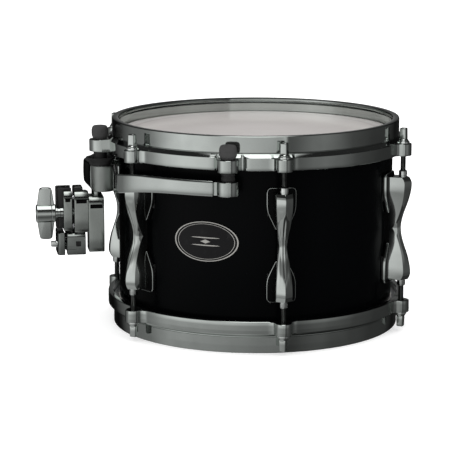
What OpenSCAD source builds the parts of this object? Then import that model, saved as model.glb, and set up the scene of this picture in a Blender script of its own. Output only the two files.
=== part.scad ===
// Rack tom: a small wooden drum with cast hoops, six tube-end lugs and a
// three-point suspension arm that carries a clamp for a vertical mounting rod.
// Millimetres. Z is the drum axis, z = 0 is the bottom rim, -Y is the player's front.

/* [Drum] */
// Outer radius of the wooden shell (half of a ten inch shell)
shell_r = 127; // [126:0.5:130]
// Wall thickness of the shell
shell_wall = 6; // [5:0.5:7]
// Height over both hoops
drum_h = 192; // [190:0.5:196]
// Angle of the first lug, from the front towards +X
first_lug_angle = 10.1; // [8:0.1:12]

/* [Hoops] */
// Height of one cast hoop
hoop_h = 29.5; // [29:0.5:31]
// Height of the thick outer band of a hoop
band_h = 11.5; // [11:0.5:12.5]
// How far the collar stands out past the shell
collar_out = 5.7; // [5.6:0.1:6.5]
// How far the band stands out past the shell
band_out = 10.7; // [10.5:0.1:11.5]
// Outer radius of an ear round a tension rod
rod_ear_r = 7.5; // [7:0.1:8]

/* [Tension rods] */
// Radius of the threaded shaft
rod_r = 2.7; // [2.5:0.1:2.9]
// Distance from the shell to the rod axis
rod_out = 14.9; // [14.7:0.1:15.5]
// Side of the square drive on a rod's head
key_side = 6.3; // [5.8:0.1:6.4]

/* [Lugs] */
// Length of a lug
lug_len = 94.8; // [92:0.2:97]
// Width of a lug across its bulges
lug_w = 14.5; // [13.5:0.5:16]
// Width of a lug at its waist
lug_waist_w = 9.4; // [8:0.2:11]
// Width of the feet that sit against the shell
lug_foot_w = 24; // [22:0.5:26]

/* [Suspension] */
// Angle of the clamp round the drum, from the front towards +X
mount_angle = -79.9; // [-82:0.1:-78]
// Angle from the clamp to the suspension point on each side
ear_spread = 70.6; // [69:0.1:72]
// Distance from the shell to the axis of a suspension point
ear_out = 17.5; // [17:0.1:18]
// Outer radius of a suspension ear or boss
ear_r = 10; // [9.5:0.1:10.5]
// Radius of the arm's bar at its ends
arm_r = 150; // [149.5:0.5:151]
// How far the bar bows out past the lugs
arm_bow = 4.5; // [4:0.5:6]
// Thickness of the bar
arm_t = 5; // [4.5:0.5:6]

/* [Clamp] */
// Radius of the mounting rod that the clamp holds (half of 12.7)
mount_rod_r = 6.35; // [6:0.05:6.5]
// Distance of that rod from the drum axis
mount_rod_u = 174.5; // [174:0.1:175]
// Radius of the wing bolt's thread
wing_bolt_r = 4; // [3.5:0.1:4]
// Height over both wings
wing_span = 48; // [44:1:48]

/* [Hidden] */
eps = 0.01;
smooth = 128;
lug_count = 6;
lug_pitch = 360 / lug_count;

rod_circle = shell_r + rod_out;
ear_circle = shell_r + ear_out;
collar_r = shell_r + collar_out;
band_r = shell_r + band_out;
mid_z = drum_h / 2;

shell_end = 13.5;             // height of a bearing edge above its own rim
flesh_in = shell_r + 0.8;
flesh_out = shell_r + 5.1;
flesh_top = 17.6;             // depth of the flesh hoop's top below its rim
flesh_h = 6.9;
pocket_r = shell_r + 5.4;     // the hoop's pocket for the flesh hoop
wall_in = shell_r + 1.9;      // the hoop's wall above that pocket
lip_in = shell_r - 0.3;       // the lip at the rim
lip_h = 3.2;
chamfer = 1;

band_top = drum_h - hoop_h + band_h;
band_bottom = drum_h - hoop_h;
ear_top = band_top - 0.2;     // the ears are a hair lower than the band on both faces
ear_bottom = band_bottom + 0.2;
washer_h = 2;
washer_r = 5.5;
flange_h = 1.5;
head_h = 10.5;
play = 0.05;                  // radial play of everything that turns in a hole

foot_h = 24;
lug_bulge_r = 150.5;
lug_end_r = 148;
lug_waist_r = 140;
lug_bulge_z = 41;
lug_seat_r = shell_r + 0.7;
nut_r = 4.1;
nut_up = 53.2;                // top of a swivel nut, from the drum's middle
nut_down = 23.4;
rod_tip = 25;                 // end of a rod inside its lug, from the drum's middle
screw_z = 36;
screw_r = 2.4;

arm_bottom = 142.2;
arm_top = 155.7;
boss_top = 155;
hub_bottom = 125.7;
hub_top = 149.7;
hub_u = 142.5;
hub_r = 10.6;
stud_r = 2.9;
stud_top = 184;
knob_r = 7.75;
knob_bottom = ear_top + 0.1;
knob_top = 186.3;
isolator_r = 6.1;
sleeve_r = 4.9;

post_in = 142.3;
post_out = 156.5;
post_bottom = 69.9;
post_top = 121.5;
bolt_u = 148.5;               // the long bolt that joins the bracket to the arm
jaw_face = 169.6;             // the fixed jaw's inner face
jaw_gap_face = 171.5;         // the moving jaw's inner face
jaw_back = 179.4;
saddle_back = 185.5;
jaw_front = 10;
saddle_v = -1;                // where each metal jaw meets its moulded saddle
saddle_far = -17.5;
mount_rod_v = -8;
wing_v = 4;
wing_z = 106.6;
wing_hub_in = 186.7;
wing_hub_out = 204.4;
pin_zs = [94, 120.5];
lock_bottom = 67.6;
lock_top = 88;
key_top = 91.8;               // top of the key that seats in the fixed jaw
lock_split = 176.5;
gate_in = 178.5;
gate_out = 185.5;
lock_v = 5;
lock_z = 78;
lock_bolt_r = 2;
lock_pin_v = -17.8;

lug_list = [for (i = [1:lug_count]) str("lug_", i)];
top_rods = [for (i = [1:lug_count]) str("batter_rod_", i)];
low_rods = [for (i = [1:lug_count]) str("resonant_rod_", i)];

// Turns the frame so that +X points out of the drum at an angle from the front.
module at_angle(angle) {
    rotate([0, 0, angle - 90]) children();
}

// Swaps the batter side for the resonant side.
module flipped(lower) {
    if (lower) translate([0, 0, drum_h]) mirror([0, 0, 1]) children();
    else children();
}

module at_lug(i) {
    at_angle(first_lug_angle + (i - 1) * lug_pitch) children();
}

module at_mount() {
    at_angle(mount_angle) children();
}

// A round bar along +X of the local frame.
module bar_x(r, from, to) {
    translate([from, 0, 0]) rotate([0, 90, 0]) cylinder(r = r, h = to - from, $fn = 48);
}

// ---- shell ----------------------------------------------------------------

module shell() {
    r_in = shell_r - shell_wall;
    color([0.03, 0.03, 0.035]) difference() {
        rotate_extrude($fn = smooth) polygon([
            [r_in, shell_end + shell_wall - 1],
            [shell_r - 1, shell_end],
            [shell_r, shell_end + 1],
            [shell_r, drum_h - shell_end - 1],
            [shell_r - 1, drum_h - shell_end],
            [r_in, drum_h - shell_end - shell_wall + 1]]);
        for (i = [1:lug_count], side = [-1, 1])
            at_lug(i) translate([0, 0, mid_z + side * screw_z])
                bar_x(screw_r + 0.3, r_in - 1, shell_r + 1);
        at_lug(3.5) translate([0, 0, mid_z]) bar_x(vent_r + 1, r_in - 1, shell_r + 1);
    }
}

vent_r = 4.5;

// The rolled metal eyelet that lines the air vent, half way between two lugs at the back.
module vent_grommet() {
    inner = shell_r - shell_wall;
    color([0.45, 0.47, 0.46]) at_lug(3.5) translate([0, 0, mid_z]) rotate([0, 90, 0])
        rotate_extrude($fn = 48) polygon([
            [vent_r, inner - 1.6], [vent_r + 3.4, inner - 1.6], [vent_r + 3.4, inner - 0.8],
            [vent_r + 0.9, inner - 0.8], [vent_r + 0.9, shell_r + 0.1],
            [vent_r + 3.9, shell_r + 0.1], [vent_r + 3.4, shell_r + 1.1], [vent_r, shell_r + 1.4]]);
}

badge_angle = -19.9;
badge_z = 97.5;

// A plain oval plate, curved to the shell.
module badge() {
    half_w = 30.3;
    half_h = 18;
    sides = 48;
    color([0.05, 0.05, 0.05]) intersection() {
        difference() {
            cylinder(r = shell_r + 1.1, h = drum_h, $fn = smooth);
            translate([0, 0, -1]) cylinder(r = shell_r + 0.1, h = drum_h + 2, $fn = smooth);
        }
        at_angle(badge_angle) translate([shell_r - 8, 0, badge_z])
            rotate([90, 0, 90]) linear_extrude(height = 12)
                polygon([for (k = [0:sides - 1])
                    [half_w * cos(k * 360 / sides), half_h * sin(k * 360 / sides)]]);
    }
}

// ---- heads and hoops --------------------------------------------------------

// The film: flat over the bearing edge, then down into the flesh hoop.
module head(lower) {
    film = 0.35;
    top = drum_h - shell_end + 0.1 + film;
    collar = shell_r + 0.35;
    flesh_bottom = drum_h - flesh_top - flesh_h;
    color([0.93, 0.92, 0.9]) flipped(lower) rotate_extrude($fn = smooth) polygon([
        [0, top - film], [shell_r - 0.9, top - film], [collar - 0.25, top - film - 1],
        [collar - 0.25, flesh_bottom], [collar + 0.4, flesh_bottom],
        [collar + 0.2, top - 1.35], [shell_r - 0.8, top], [0, top]]);
}

module flesh_hoop(lower) {
    color([0.75, 0.76, 0.77]) flipped(lower)
        translate([0, 0, drum_h - flesh_top - flesh_h]) rotate_extrude($fn = smooth)
            translate([flesh_in, 0]) square([flesh_out - flesh_in, flesh_h]);
}

// An ear on a hoop's band: a round boss and the web that blends it into the band.
module hoop_ear(angle, circle, r) {
    root = band_r - 3;
    at_angle(angle) translate([0, 0, ear_bottom]) {
        translate([circle, 0, 0]) cylinder(r = r, h = ear_top - ear_bottom, $fn = 64);
        linear_extrude(height = ear_top - ear_bottom) polygon([
            [root, -r - 4], [circle, 0.4 - r], [circle, r - 0.4], [root, r + 4]]);
    }
}

// One cast hoop; only the batter hoop has the three suspension ears.
module hoop(lower) {
    ears = lower ? [] : [-ear_spread, 0, ear_spread];
    color([0.55, 0.57, 0.56]) flipped(lower) difference() {
        union() {
            rotate_extrude($fn = smooth) polygon([
                [pocket_r, band_bottom], [band_r, band_bottom], [band_r, band_top],
                [collar_r, band_top + 3], [collar_r, drum_h - chamfer],
                [collar_r - chamfer, drum_h], [lip_in, drum_h], [lip_in, drum_h - lip_h],
                [wall_in, drum_h - lip_h - 2], [wall_in, drum_h - flesh_top + 0.2],
                [pocket_r, drum_h - flesh_top + 0.2]]);
            for (i = [1:lug_count])
                hoop_ear(first_lug_angle + (i - 1) * lug_pitch, rod_circle, rod_ear_r);
            for (spread = ears) hoop_ear(mount_angle + spread, ear_circle, ear_r);
        }
        for (i = [1:lug_count]) at_lug(i) translate([rod_circle, 0, 0]) {
            translate([0, 0, band_bottom - 1]) cylinder(r = rod_r + 0.6, h = band_h + 2, $fn = 48);
            translate([0, 0, ear_top]) cylinder(r = washer_r + 0.2, h = 4, $fn = 48);
        }
        for (spread = ears) at_angle(mount_angle + spread)
            translate([ear_circle, 0, band_bottom - 1])
                cylinder(r = sleeve_r + 0.1, h = band_h + 2, $fn = 48);
    }
}

// ---- tension rods -----------------------------------------------------------

module tension_rod(i, lower) {
    flange_z = ear_top + washer_h + play;
    color([0.6, 0.62, 0.61]) flipped(lower) at_lug(i) translate([rod_circle, 0, 0]) {
        translate([0, 0, mid_z + rod_tip])
            cylinder(r = rod_r, h = flange_z - mid_z - rod_tip + eps, $fn = 48);
        translate([0, 0, flange_z]) cylinder(r = 4.6, h = flange_h, $fn = 48);
        translate([-key_side / 2, -key_side / 2, flange_z + flange_h - eps])
            cube([key_side, key_side, head_h]);
    }
}

module rod_washers(lower) {
    color([0.6, 0.62, 0.61]) flipped(lower) for (i = [1:lug_count])
        at_lug(i) translate([rod_circle, 0, ear_top]) difference() {
            cylinder(r = washer_r, h = washer_h, $fn = 48);
            translate([0, 0, -1]) cylinder(r = rod_r + 0.3, h = washer_h + 2, $fn = 48);
        }
}

// ---- lugs -------------------------------------------------------------------

// A block from the shell out to radius r, of width w, at height z above the middle.
module lug_slab(r, w, z, h) {
    translate([shell_r - 1, -w / 2, z]) cube([r - shell_r + 1, w, h]);
}

// Half of a lug: the slim body that swells from its waist, and the foot behind it.
module lug_half() {
    hull() {
        lug_slab(lug_waist_r, lug_waist_w, 0, 1);
        lug_slab(lug_bulge_r, lug_w, lug_bulge_z, 1);
        lug_slab(lug_end_r, lug_w, lug_len / 2 - 1, 1);
    }
    hull() {
        lug_slab(shell_r + 3, lug_waist_w, 0, 1);
        lug_slab(shell_r + 3, lug_foot_w, foot_h, lug_len / 2 - foot_h);
    }
}

module lug(i) {
    color([0.55, 0.57, 0.56]) at_lug(i) translate([0, 0, mid_z]) difference() {
        union() {
            lug_half();
            mirror([0, 0, 1]) lug_half();
        }
        translate([0, 0, -lug_len]) cylinder(r = lug_seat_r, h = 2 * lug_len, $fn = smooth);
        for (side = [-1, 1]) {
            translate([rod_circle, 0, side > 0 ? nut_down - 1 : -lug_len])
                cylinder(r = nut_r + 0.1, h = lug_len - nut_down + 1, $fn = 48);
            translate([0, 0, side * screw_z]) bar_x(screw_r + 0.1, shell_r, shell_r + 10);
        }
    }
}

module swivel_nuts() {
    color([0.65, 0.66, 0.65]) for (i = [1:lug_count], lower = [false, true])
        flipped(lower) at_lug(i) translate([rod_circle, 0, mid_z + nut_down]) difference() {
            cylinder(r = nut_r, h = nut_up - nut_down, $fn = 48);
            translate([0, 0, -1]) cylinder(r = rod_r + play, h = nut_up, $fn = 48);
        }
}

// Thin pads that keep the lugs' feet off the lacquer.
module lug_gaskets() {
    color([0.04, 0.04, 0.04]) difference() {
        for (i = [1:lug_count], side = [-1, 1]) at_lug(i)
            intersection() {
                difference() {
                    cylinder(r = lug_seat_r - 0.05, h = drum_h, $fn = smooth);
                    translate([0, 0, -1]) cylinder(r = shell_r + 0.05, h = drum_h + 2, $fn = smooth);
                }
                translate([shell_r - 8, -lug_foot_w / 2, mid_z + side * screw_z - 10.5])
                    cube([20, lug_foot_w, 21]);
            }
        for (i = [1:lug_count], side = [-1, 1]) at_lug(i)
            translate([0, 0, mid_z + side * screw_z]) bar_x(screw_r + 0.1, shell_r - 1, shell_r + 3);
    }
}

module lug_screws() {
    seat = shell_r - shell_wall - 1.3;
    color([0.6, 0.6, 0.6]) for (i = [1:lug_count], side = [-1, 1])
        at_lug(i) translate([0, 0, mid_z + side * screw_z]) {
            bar_x(screw_r, seat - eps, shell_r + 9);
            bar_x(4.5, seat - 3.2, seat);
        }
}

module lug_screw_washers() {
    seat = shell_r - shell_wall - 1.3;
    color([0.6, 0.6, 0.6]) for (i = [1:lug_count], side = [-1, 1])
        at_lug(i) translate([0, 0, mid_z + side * screw_z]) difference() {
            bar_x(6, seat + 0.05, seat + 1.05);
            bar_x(screw_r + 0.1, seat - 1, seat + 2);
        }
}

// ---- suspension -------------------------------------------------------------

// Radius of the bar's centre line, which bows out to pass the lug at 30 degrees.
function bar_bowed(a) = arm_r + arm_bow * exp(-pow((abs(a) - 30) / 11, 2));

// In front of the casting the bar runs straight to its bend; behind it, it is bowed outwards.
function bar_radius(a) = a < 0
    ? bar_bowed(a) + 8 * exp(-pow((a + 13) / 8, 2))
    : min(131 / max(0.1, cos(a) - 0.0914 * sin(a)), bar_bowed(a));

// Points along the bar at one side of its centre line, from one angle to another.
function bar_edge(side, from, to, step) =
    [for (a = [from:step:to]) (bar_radius(a) + side * arm_t / 2) * [cos(a), sin(a)]];

// The bar is deep at the casting in the middle and slim at its ends.
module bar_side_view() {
    for (side = [-1, 1]) rotate([90, 0, 90]) linear_extrude(height = 200) polygon([
        [0, hub_bottom], [side * 14, hub_bottom + 2], [side * 72, 135.5], [side * 86, 138.5],
        [side * 100, 141], [side * 118, arm_bottom], [side * 150, arm_bottom],
        [side * 150, arm_top], [side * 90, arm_top], [side * 72, 152.5], [side * 50, 150.5],
        [side * 14, hub_top], [0, hub_top]]);
}

module suspension_arm() {
    bar_end = ear_spread - 4.6;
    neck = ear_circle * [cos(bar_end - 5), sin(bar_end - 5)];
    color([0.55, 0.57, 0.56]) at_mount() difference() {
        union() {
            intersection() {
                linear_extrude(height = drum_h) polygon(concat(
                    bar_edge(1, -bar_end, bar_end, bar_end / 22),
                    [for (p = [0:44]) bar_edge(-1, -bar_end, bar_end, bar_end / 22)[44 - p]]));
                bar_side_view();
            }
            translate([hub_u, 0, hub_bottom]) cylinder(r = hub_r, h = hub_top - hub_bottom, $fn = 64);
            for (side = [-1, 1]) rotate([0, 0, side * ear_spread]) {
                translate([ear_circle, 0, arm_bottom])
                    cylinder(r = ear_r, h = boss_top - arm_bottom, $fn = 64);
                translate([0, 0, arm_bottom + 0.6]) linear_extrude(height = 11.6)
                    polygon([[142.5, 0], [144, -side * 24], [149.6, -side * 24], [148.5, 0]]);
            }
        }
        for (side = [-1, 1]) rotate([0, 0, side * ear_spread]) translate([ear_circle, 0, arm_bottom]) {
            translate([0, 0, -1]) cylinder(r = stud_r + 0.1, h = 20, $fn = 48);
            translate([0, 0, -1]) cylinder(r = 5.4, h = 5.8, $fn = 48);
        }
        translate([ear_circle, 0, 139.5]) cylinder(r = stud_r + 0.1, h = 20, $fn = 48);
        translate([bolt_u, 0, hub_bottom - 1]) cylinder(r = 3.1, h = 12, $fn = 48);
    }
}

// Rubber bushes: a spacer under each ear with a sleeve through it; the middle one has a cup.
module isolators() {
    color([0.1, 0.1, 0.1]) at_mount() {
        for (side = [-1, 1]) rotate([0, 0, side * ear_spread]) translate([ear_circle, 0, 0])
            rotate_extrude($fn = 64) polygon([
                [stud_r + 0.1, boss_top + 0.1], [isolator_r, boss_top + 0.1],
                [isolator_r - 0.6, 159], [isolator_r, ear_bottom - 0.05],
                [sleeve_r, ear_bottom - 0.05], [sleeve_r, ear_top], [stud_r + 0.1, ear_top]]);
        translate([ear_circle, 0, 0]) rotate_extrude($fn = 64) polygon([
            [stud_r + 0.1, hub_top + 0.1], [9.6, hub_top + 0.1], [10.4, 152.5], [13.4, 157],
            [12, 157], [8, 153.5], [isolator_r, 154], [isolator_r, ear_bottom - 0.05],
            [sleeve_r, ear_bottom - 0.05], [sleeve_r, ear_top], [stud_r + 0.1, ear_top]]);
    }
}

// The two end studs have a head in the boss; the middle one screws into the casting.
module suspension_studs() {
    color([0.6, 0.6, 0.6]) at_mount() {
        for (side = [-1, 1]) rotate([0, 0, side * ear_spread])
            translate([ear_circle, 0, arm_bottom + 0.6]) {
                cylinder(r = 5.2, h = 4, $fn = 48);
                cylinder(r = stud_r, h = stud_top - arm_bottom - 0.6, $fn = 48);
            }
        translate([ear_circle, 0, 140]) cylinder(r = stud_r, h = stud_top - 140, $fn = 48);
    }
}

module suspension_knobs() {
    color([0.19, 0.2, 0.19]) at_mount() for (spread = [-ear_spread, 0, ear_spread])
        rotate([0, 0, spread]) translate([ear_circle, 0, 0]) rotate_extrude($fn = 64) polygon([
            [stud_r + 0.1, knob_bottom], [knob_r - 1.6, knob_bottom], [knob_r, knob_bottom + 3],
            [knob_r, knob_top - 3.4], [knob_r - 1.4, knob_top - 0.8], [knob_r - 2.6, knob_top],
            [0, knob_top], [0, stud_top + 0.1], [stud_r + 0.1, stud_top + 0.1]]);
}

// ---- bracket ----------------------------------------------------------------

// A box in the bracket's frame: u out of the drum, v towards the player's front, z up.
module box_uvz(u, v, z) {
    translate([u[0], v[0], z[0]]) cube([u[1] - u[0], v[1] - v[0], z[1] - z[0]]);
}

module mount_rod_hole(z) {
    translate([mount_rod_u, mount_rod_v, z[0]]) cylinder(r = mount_rod_r, h = z[1] - z[0], $fn = 64);
}

module bracket_body() {
    color([0.4, 0.42, 0.41]) at_mount() difference() {
        union() {
            box_uvz([post_in, post_out], [-11, 11], [post_bottom, post_top]);
            translate([bolt_u, 0, post_top - eps]) cylinder(r = 4.6, h = hub_bottom - post_top, $fn = 48);
            box_uvz([post_out - eps, jaw_face], [saddle_v - 2, jaw_front], [88.3, 126]);
            box_uvz([post_out - eps, post_out + 4], [saddle_far, saddle_v], [92, 124]);
        }
        translate([bolt_u, 0, post_bottom - 1]) cylinder(r = 3.2, h = 60, $fn = 48);
        translate([bolt_u, 0, post_bottom - 1]) cylinder(r = 5.4, h = 8, $fn = 48);
        translate([0, wing_v, wing_z]) bar_x(wing_bolt_r + play, post_out + 1, jaw_face + 1);
        for (z = pin_zs) translate([0, wing_v, z]) bar_x(2, 160, jaw_face + 1);
        box_uvz([160.9, 167.1], [saddle_v - 3, 7.1], [87, key_top + 0.15]);
    }
}

module bracket_bolt() {
    color([0.6, 0.6, 0.6]) at_mount() translate([bolt_u, 0, 0]) {
        translate([0, 0, post_bottom + 0.6]) cylinder(r = 5.2, h = 6, $fn = 48);
        translate([0, 0, post_bottom + 6.5]) cylinder(r = 3, h = 59, $fn = 48);
    }
}

// The moulded saddles are the two halves that grip the mounting rod.
module fixed_saddle() {
    color([0.05, 0.05, 0.05]) at_mount() difference() {
        box_uvz([post_out + 4.05, jaw_face], [saddle_far, saddle_v - 2.05], [89, 129]);
        mount_rod_hole([88, 130]);
    }
}

module jaw_saddle() {
    color([0.05, 0.05, 0.05]) at_mount() difference() {
        box_uvz([jaw_gap_face, saddle_back], [saddle_far, saddle_v - 0.05], [91, 128.6]);
        mount_rod_hole([90, 130]);
    }
}

module clamp_jaw() {
    color([0.45, 0.47, 0.46]) at_mount() difference() {
        box_uvz([jaw_gap_face, jaw_back], [saddle_v, jaw_front], [90.2, 126.7]);
        translate([0, wing_v, wing_z]) bar_x(wing_bolt_r + 0.2, jaw_gap_face - 1, jaw_back + 1);
        for (z = pin_zs) translate([0, wing_v, z]) bar_x(2 + play, jaw_gap_face - 1, jaw_back + 1);
    }
}

module jaw_guide_pins() {
    color([0.6, 0.6, 0.6]) at_mount() for (z = pin_zs)
        translate([0, wing_v, z]) bar_x(2, 160, jaw_back - 0.6);
}

// A bolt along u, whose two wings stand up and down from a round hub.
module wing_bolt() {
    half = wing_span / 2;
    tip = 5.2;
    root = 8.6;
    middle = (wing_hub_in + wing_hub_out) / 2;
    color([0.58, 0.6, 0.59]) at_mount() translate([0, wing_v, wing_z]) {
        bar_x(wing_bolt_r, 158.5, wing_hub_in + 1);
        bar_x(5, jaw_back + 0.1, wing_hub_in + 1);
        bar_x(8.4, wing_hub_in, wing_hub_out);
        translate([middle, 2.5, 0]) rotate([90, 0, 0]) linear_extrude(height = 5) polygon([
            [-root, -6], [-root, 6], [-tip - 1.5, half - 3], [-tip, half], [tip, half],
            [tip + 1.5, half - 3], [root, 6], [root, -6], [tip + 1.5, 3 - half],
            [tip, -half], [-tip, -half], [-tip - 1.5, 3 - half]]);
    }
}

// ---- memory lock --------------------------------------------------------------

// The inner half of the collar, with the key on top that seats in the fixed jaw.
module memory_lock_block() {
    color([0.32, 0.33, 0.32]) at_mount() difference() {
        union() {
            box_uvz([159.5, lock_split], [-21, 9], [lock_bottom, lock_top]);
            box_uvz([161, 167], [-2.9, 7], [lock_top - eps, key_top]);
        }
        mount_rod_hole([lock_bottom - 1, lock_top + 1]);
        box_uvz([164, 168.6], [lock_v - 2.4, 10], [lock_z - 2.4, lock_z + 2.4]);
        translate([0, lock_v, lock_z]) bar_x(lock_bolt_r + play, 162, lock_split + 1);
        translate([0, lock_pin_v, lock_z]) bar_x(1.6, 166, lock_split + 1);
    }
}

module memory_lock_gate() {
    color([0.32, 0.33, 0.32]) at_mount() difference() {
        box_uvz([gate_in, gate_out], [-21, 9], [lock_bottom, 88.3]);
        mount_rod_hole([lock_bottom - 1, 90]);
        translate([0, lock_v, lock_z]) bar_x(lock_bolt_r + 0.2, gate_in - 1, gate_out + 1);
        translate([0, lock_pin_v, lock_z]) bar_x(1.6 + play, gate_in - 1, gate_out + 1);
    }
}

module memory_lock_pin() {
    color([0.6, 0.6, 0.6]) at_mount() translate([0, lock_pin_v, lock_z])
        bar_x(1.6, 166, gate_out - 0.6);
}

module memory_lock_bolt() {
    side = 5;
    color([0.6, 0.62, 0.61]) at_mount() translate([0, lock_v, lock_z]) {
        bar_x(lock_bolt_r, 162.5, gate_out + 2);
        bar_x(3.2, gate_out + 0.1, gate_out + 1.4);
        translate([gate_out + 1.3, -side / 2, -side / 2]) cube([4.4, side, side]);
    }
}

module memory_lock_nut() {
    color([0.2, 0.2, 0.2]) at_mount() translate([0, lock_v, lock_z]) difference() {
        translate([164.1, -2.3, -2.3]) cube([4.4, 4.6, 4.6]);
        bar_x(lock_bolt_r + play, 160, 170);
    }
}

shell();
vent_grommet();
badge();
head(false);  // batter_head
flesh_hoop(false);  // batter_flesh_hoop
hoop(false);  // batter_hoop
rod_washers(false);  // batter_rod_washers
head(true);  // resonant_head
flesh_hoop(true);  // resonant_flesh_hoop
hoop(true);  // resonant_hoop
rod_washers(true);  // resonant_rod_washers
swivel_nuts();
lug_gaskets();
lug_screws();
lug_screw_washers();
suspension_arm();
isolators();
suspension_studs();
suspension_knobs();
bracket_body();
bracket_bolt();
fixed_saddle();
clamp_jaw();
jaw_saddle();
jaw_guide_pins();
wing_bolt();
memory_lock_block();
memory_lock_gate();
memory_lock_pin();
memory_lock_bolt();
memory_lock_nut();
for (i = [1:lug_count]) {
    lug(i);
    tension_rod(i, false);
    tension_rod(i, true);
}
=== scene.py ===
"""A small rack tom: lacquered shell, cast hoops, six lugs and a rod clamp on a sprung arm.

The bench works in millimetres. A piece is in metres once it is placed on the drum.
Angles round the drum are degrees from the front (-Y) towards +X.
"""

import logging
import math
from contextlib import contextmanager
from dataclasses import dataclass, field
from enum import Enum
from typing import Callable, Iterator

import bpy
from mathutils import Matrix, Vector


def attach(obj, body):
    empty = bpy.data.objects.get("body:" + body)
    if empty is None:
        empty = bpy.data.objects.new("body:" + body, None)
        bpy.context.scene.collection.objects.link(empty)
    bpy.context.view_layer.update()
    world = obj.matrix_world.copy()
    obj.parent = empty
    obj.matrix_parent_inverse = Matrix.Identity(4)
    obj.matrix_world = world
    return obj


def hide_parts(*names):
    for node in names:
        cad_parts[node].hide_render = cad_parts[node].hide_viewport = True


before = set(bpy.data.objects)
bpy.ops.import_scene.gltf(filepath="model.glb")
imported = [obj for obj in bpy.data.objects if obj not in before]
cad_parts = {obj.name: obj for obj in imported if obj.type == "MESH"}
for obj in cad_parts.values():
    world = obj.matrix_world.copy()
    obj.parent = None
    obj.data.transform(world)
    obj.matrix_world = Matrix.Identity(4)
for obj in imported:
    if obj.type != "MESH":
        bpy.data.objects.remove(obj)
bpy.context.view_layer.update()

log = logging.getLogger("rack_tom")

Colour = tuple[float, float, float]
Outline = list[tuple[float, float]]
Corner = tuple[float, float, float]
Station = list[tuple[float, float, float]]
FaceTest = Callable[[bpy.types.MeshPolygon], bool]

MM = 0.001
DRUM_H = 192.0
MID_Z = DRUM_H / 2
SHELL_R = 127.0
FIRST_LUG = 10.1
LUG_PITCH = 60.0
LUG_NUMBERS = range(1, 7)
ROD_CIRCLE = 141.9
MOUNT_ANGLE = -79.9
EAR_SPREAD = 70.6
EAR_CIRCLE = 144.5
EAR_TOP = 173.8
EAR_BOTTOM = 162.7


class Side(Enum):
    """Which end of the drum a piece belongs to."""

    BATTER = "batter"
    RESONANT = "resonant"


class Grain(Enum):
    """Which way the polishing marks of a plated part run."""

    AROUND = "around the drum"
    UPRIGHT = "up and down"
    LEVEL = "level"


def sind(angle: float) -> float:
    """The sine of an angle in degrees."""
    return math.sin(math.radians(angle))


def cosd(angle: float) -> float:
    """The cosine of an angle in degrees."""
    return math.cos(math.radians(angle))


def lug_angle(number: int) -> float:
    """The angle of a lug, numbered from 1."""
    return FIRST_LUG + LUG_PITCH * (number - 1)


def at_angle(angle: float, radius: float = 0.0) -> Matrix:
    """A place round the drum.

    Args:
        angle: degrees from the front.
        radius: how far out its origin lies.

    Returns:
        The matrix that turns X outwards, Y towards growing angles, and moves out by radius.
    """
    turn = Matrix.Rotation(math.radians(angle - 90), 4, "Z")
    return turn @ Matrix.Translation((radius, 0, 0))


def rod_places() -> list[Matrix]:
    """Where the rods of one side stand, in the order of the lugs."""
    return [at_angle(lug_angle(number), ROD_CIRCLE) for number in LUG_NUMBERS]


def ear_angles() -> list[float]:
    """The angles of the suspension points: rear, middle and front."""
    return [MOUNT_ANGLE + spread for spread in (-EAR_SPREAD, 0, EAR_SPREAD)]


def ear_places() -> list[Matrix]:
    """Where the suspension points are."""
    return [at_angle(angle, EAR_CIRCLE) for angle in ear_angles()]


def flipped(side: Side) -> Matrix:
    """Carries a batter-side shape to its side of the drum.

    Args:
        side: the side that the piece is for.

    Returns:
        The matrix, which turns heights over for the resonant side.
    """
    if side is Side.BATTER:
        return Matrix.Identity(4)
    return Matrix.Translation((0, 0, DRUM_H)) @ Matrix.Diagonal((1, 1, -1, 1))


# The arm and the clamp are made along u, outwards at the mount, with v towards the front.
AT_MOUNT = at_angle(MOUNT_ANGLE)
# An outline drawn in X and Y stands up as (v, z) and is extruded along u.
ACROSS_U = Matrix(((0, 0, 1, 0), (1, 0, 0, 0), (0, 1, 0, 0), (0, 0, 0, 1)))
# The same for an outline of (u, z) that is extruded along v.
ACROSS_V = Matrix(((1, 0, 0, 0), (0, 0, 1, 0), (0, 1, 0, 0), (0, 0, 0, 1)))
# A turned part's Z axis laid along u.
ALONG_U = Matrix(((0, 0, 1, 0), (0, 1, 0, 0), (-1, 0, 0, 0), (0, 0, 0, 1)))


def softened(corners: list[Corner], steps: int = 4) -> Outline:
    """Rounds the corners of a closed outline.

    Args:
        corners: x, y and the length cut from each side of the corner; 0 keeps it sharp.
        steps: pieces in each rounded corner.

    Returns:
        The outline's points in the same order.
    """
    points: Outline = []
    count = len(corners)
    for place, (x, y, cut) in enumerate(corners):
        if cut <= 0:
            points.append((x, y))
            continue
        here = Vector((x, y))
        before = Vector(corners[place - 1][:2]) - here
        after = Vector(corners[(place + 1) % count][:2]) - here
        start = here + before.normalized() * min(cut, before.length * 0.49)
        end = here + after.normalized() * min(cut, after.length * 0.49)
        for step in range(steps + 1):
            share = step / steps
            spot = start.lerp(here, share).lerp(here.lerp(end, share), share)
            points.append((spot.x, spot.y))
    return points


def between(value: float, table: Outline) -> float:
    """Reads a height off a row of points, straight between them.

    Args:
        value: where along the row to read.
        table: the points, in growing order.

    Returns:
        The height there.
    """
    for (x0, y0), (x1, y1) in zip(table, table[1:]):
        if value <= x1:
            share = (value - x0) / (x1 - x0)
            return y0 + (y1 - y0) * share
    return table[-1][1]


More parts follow.
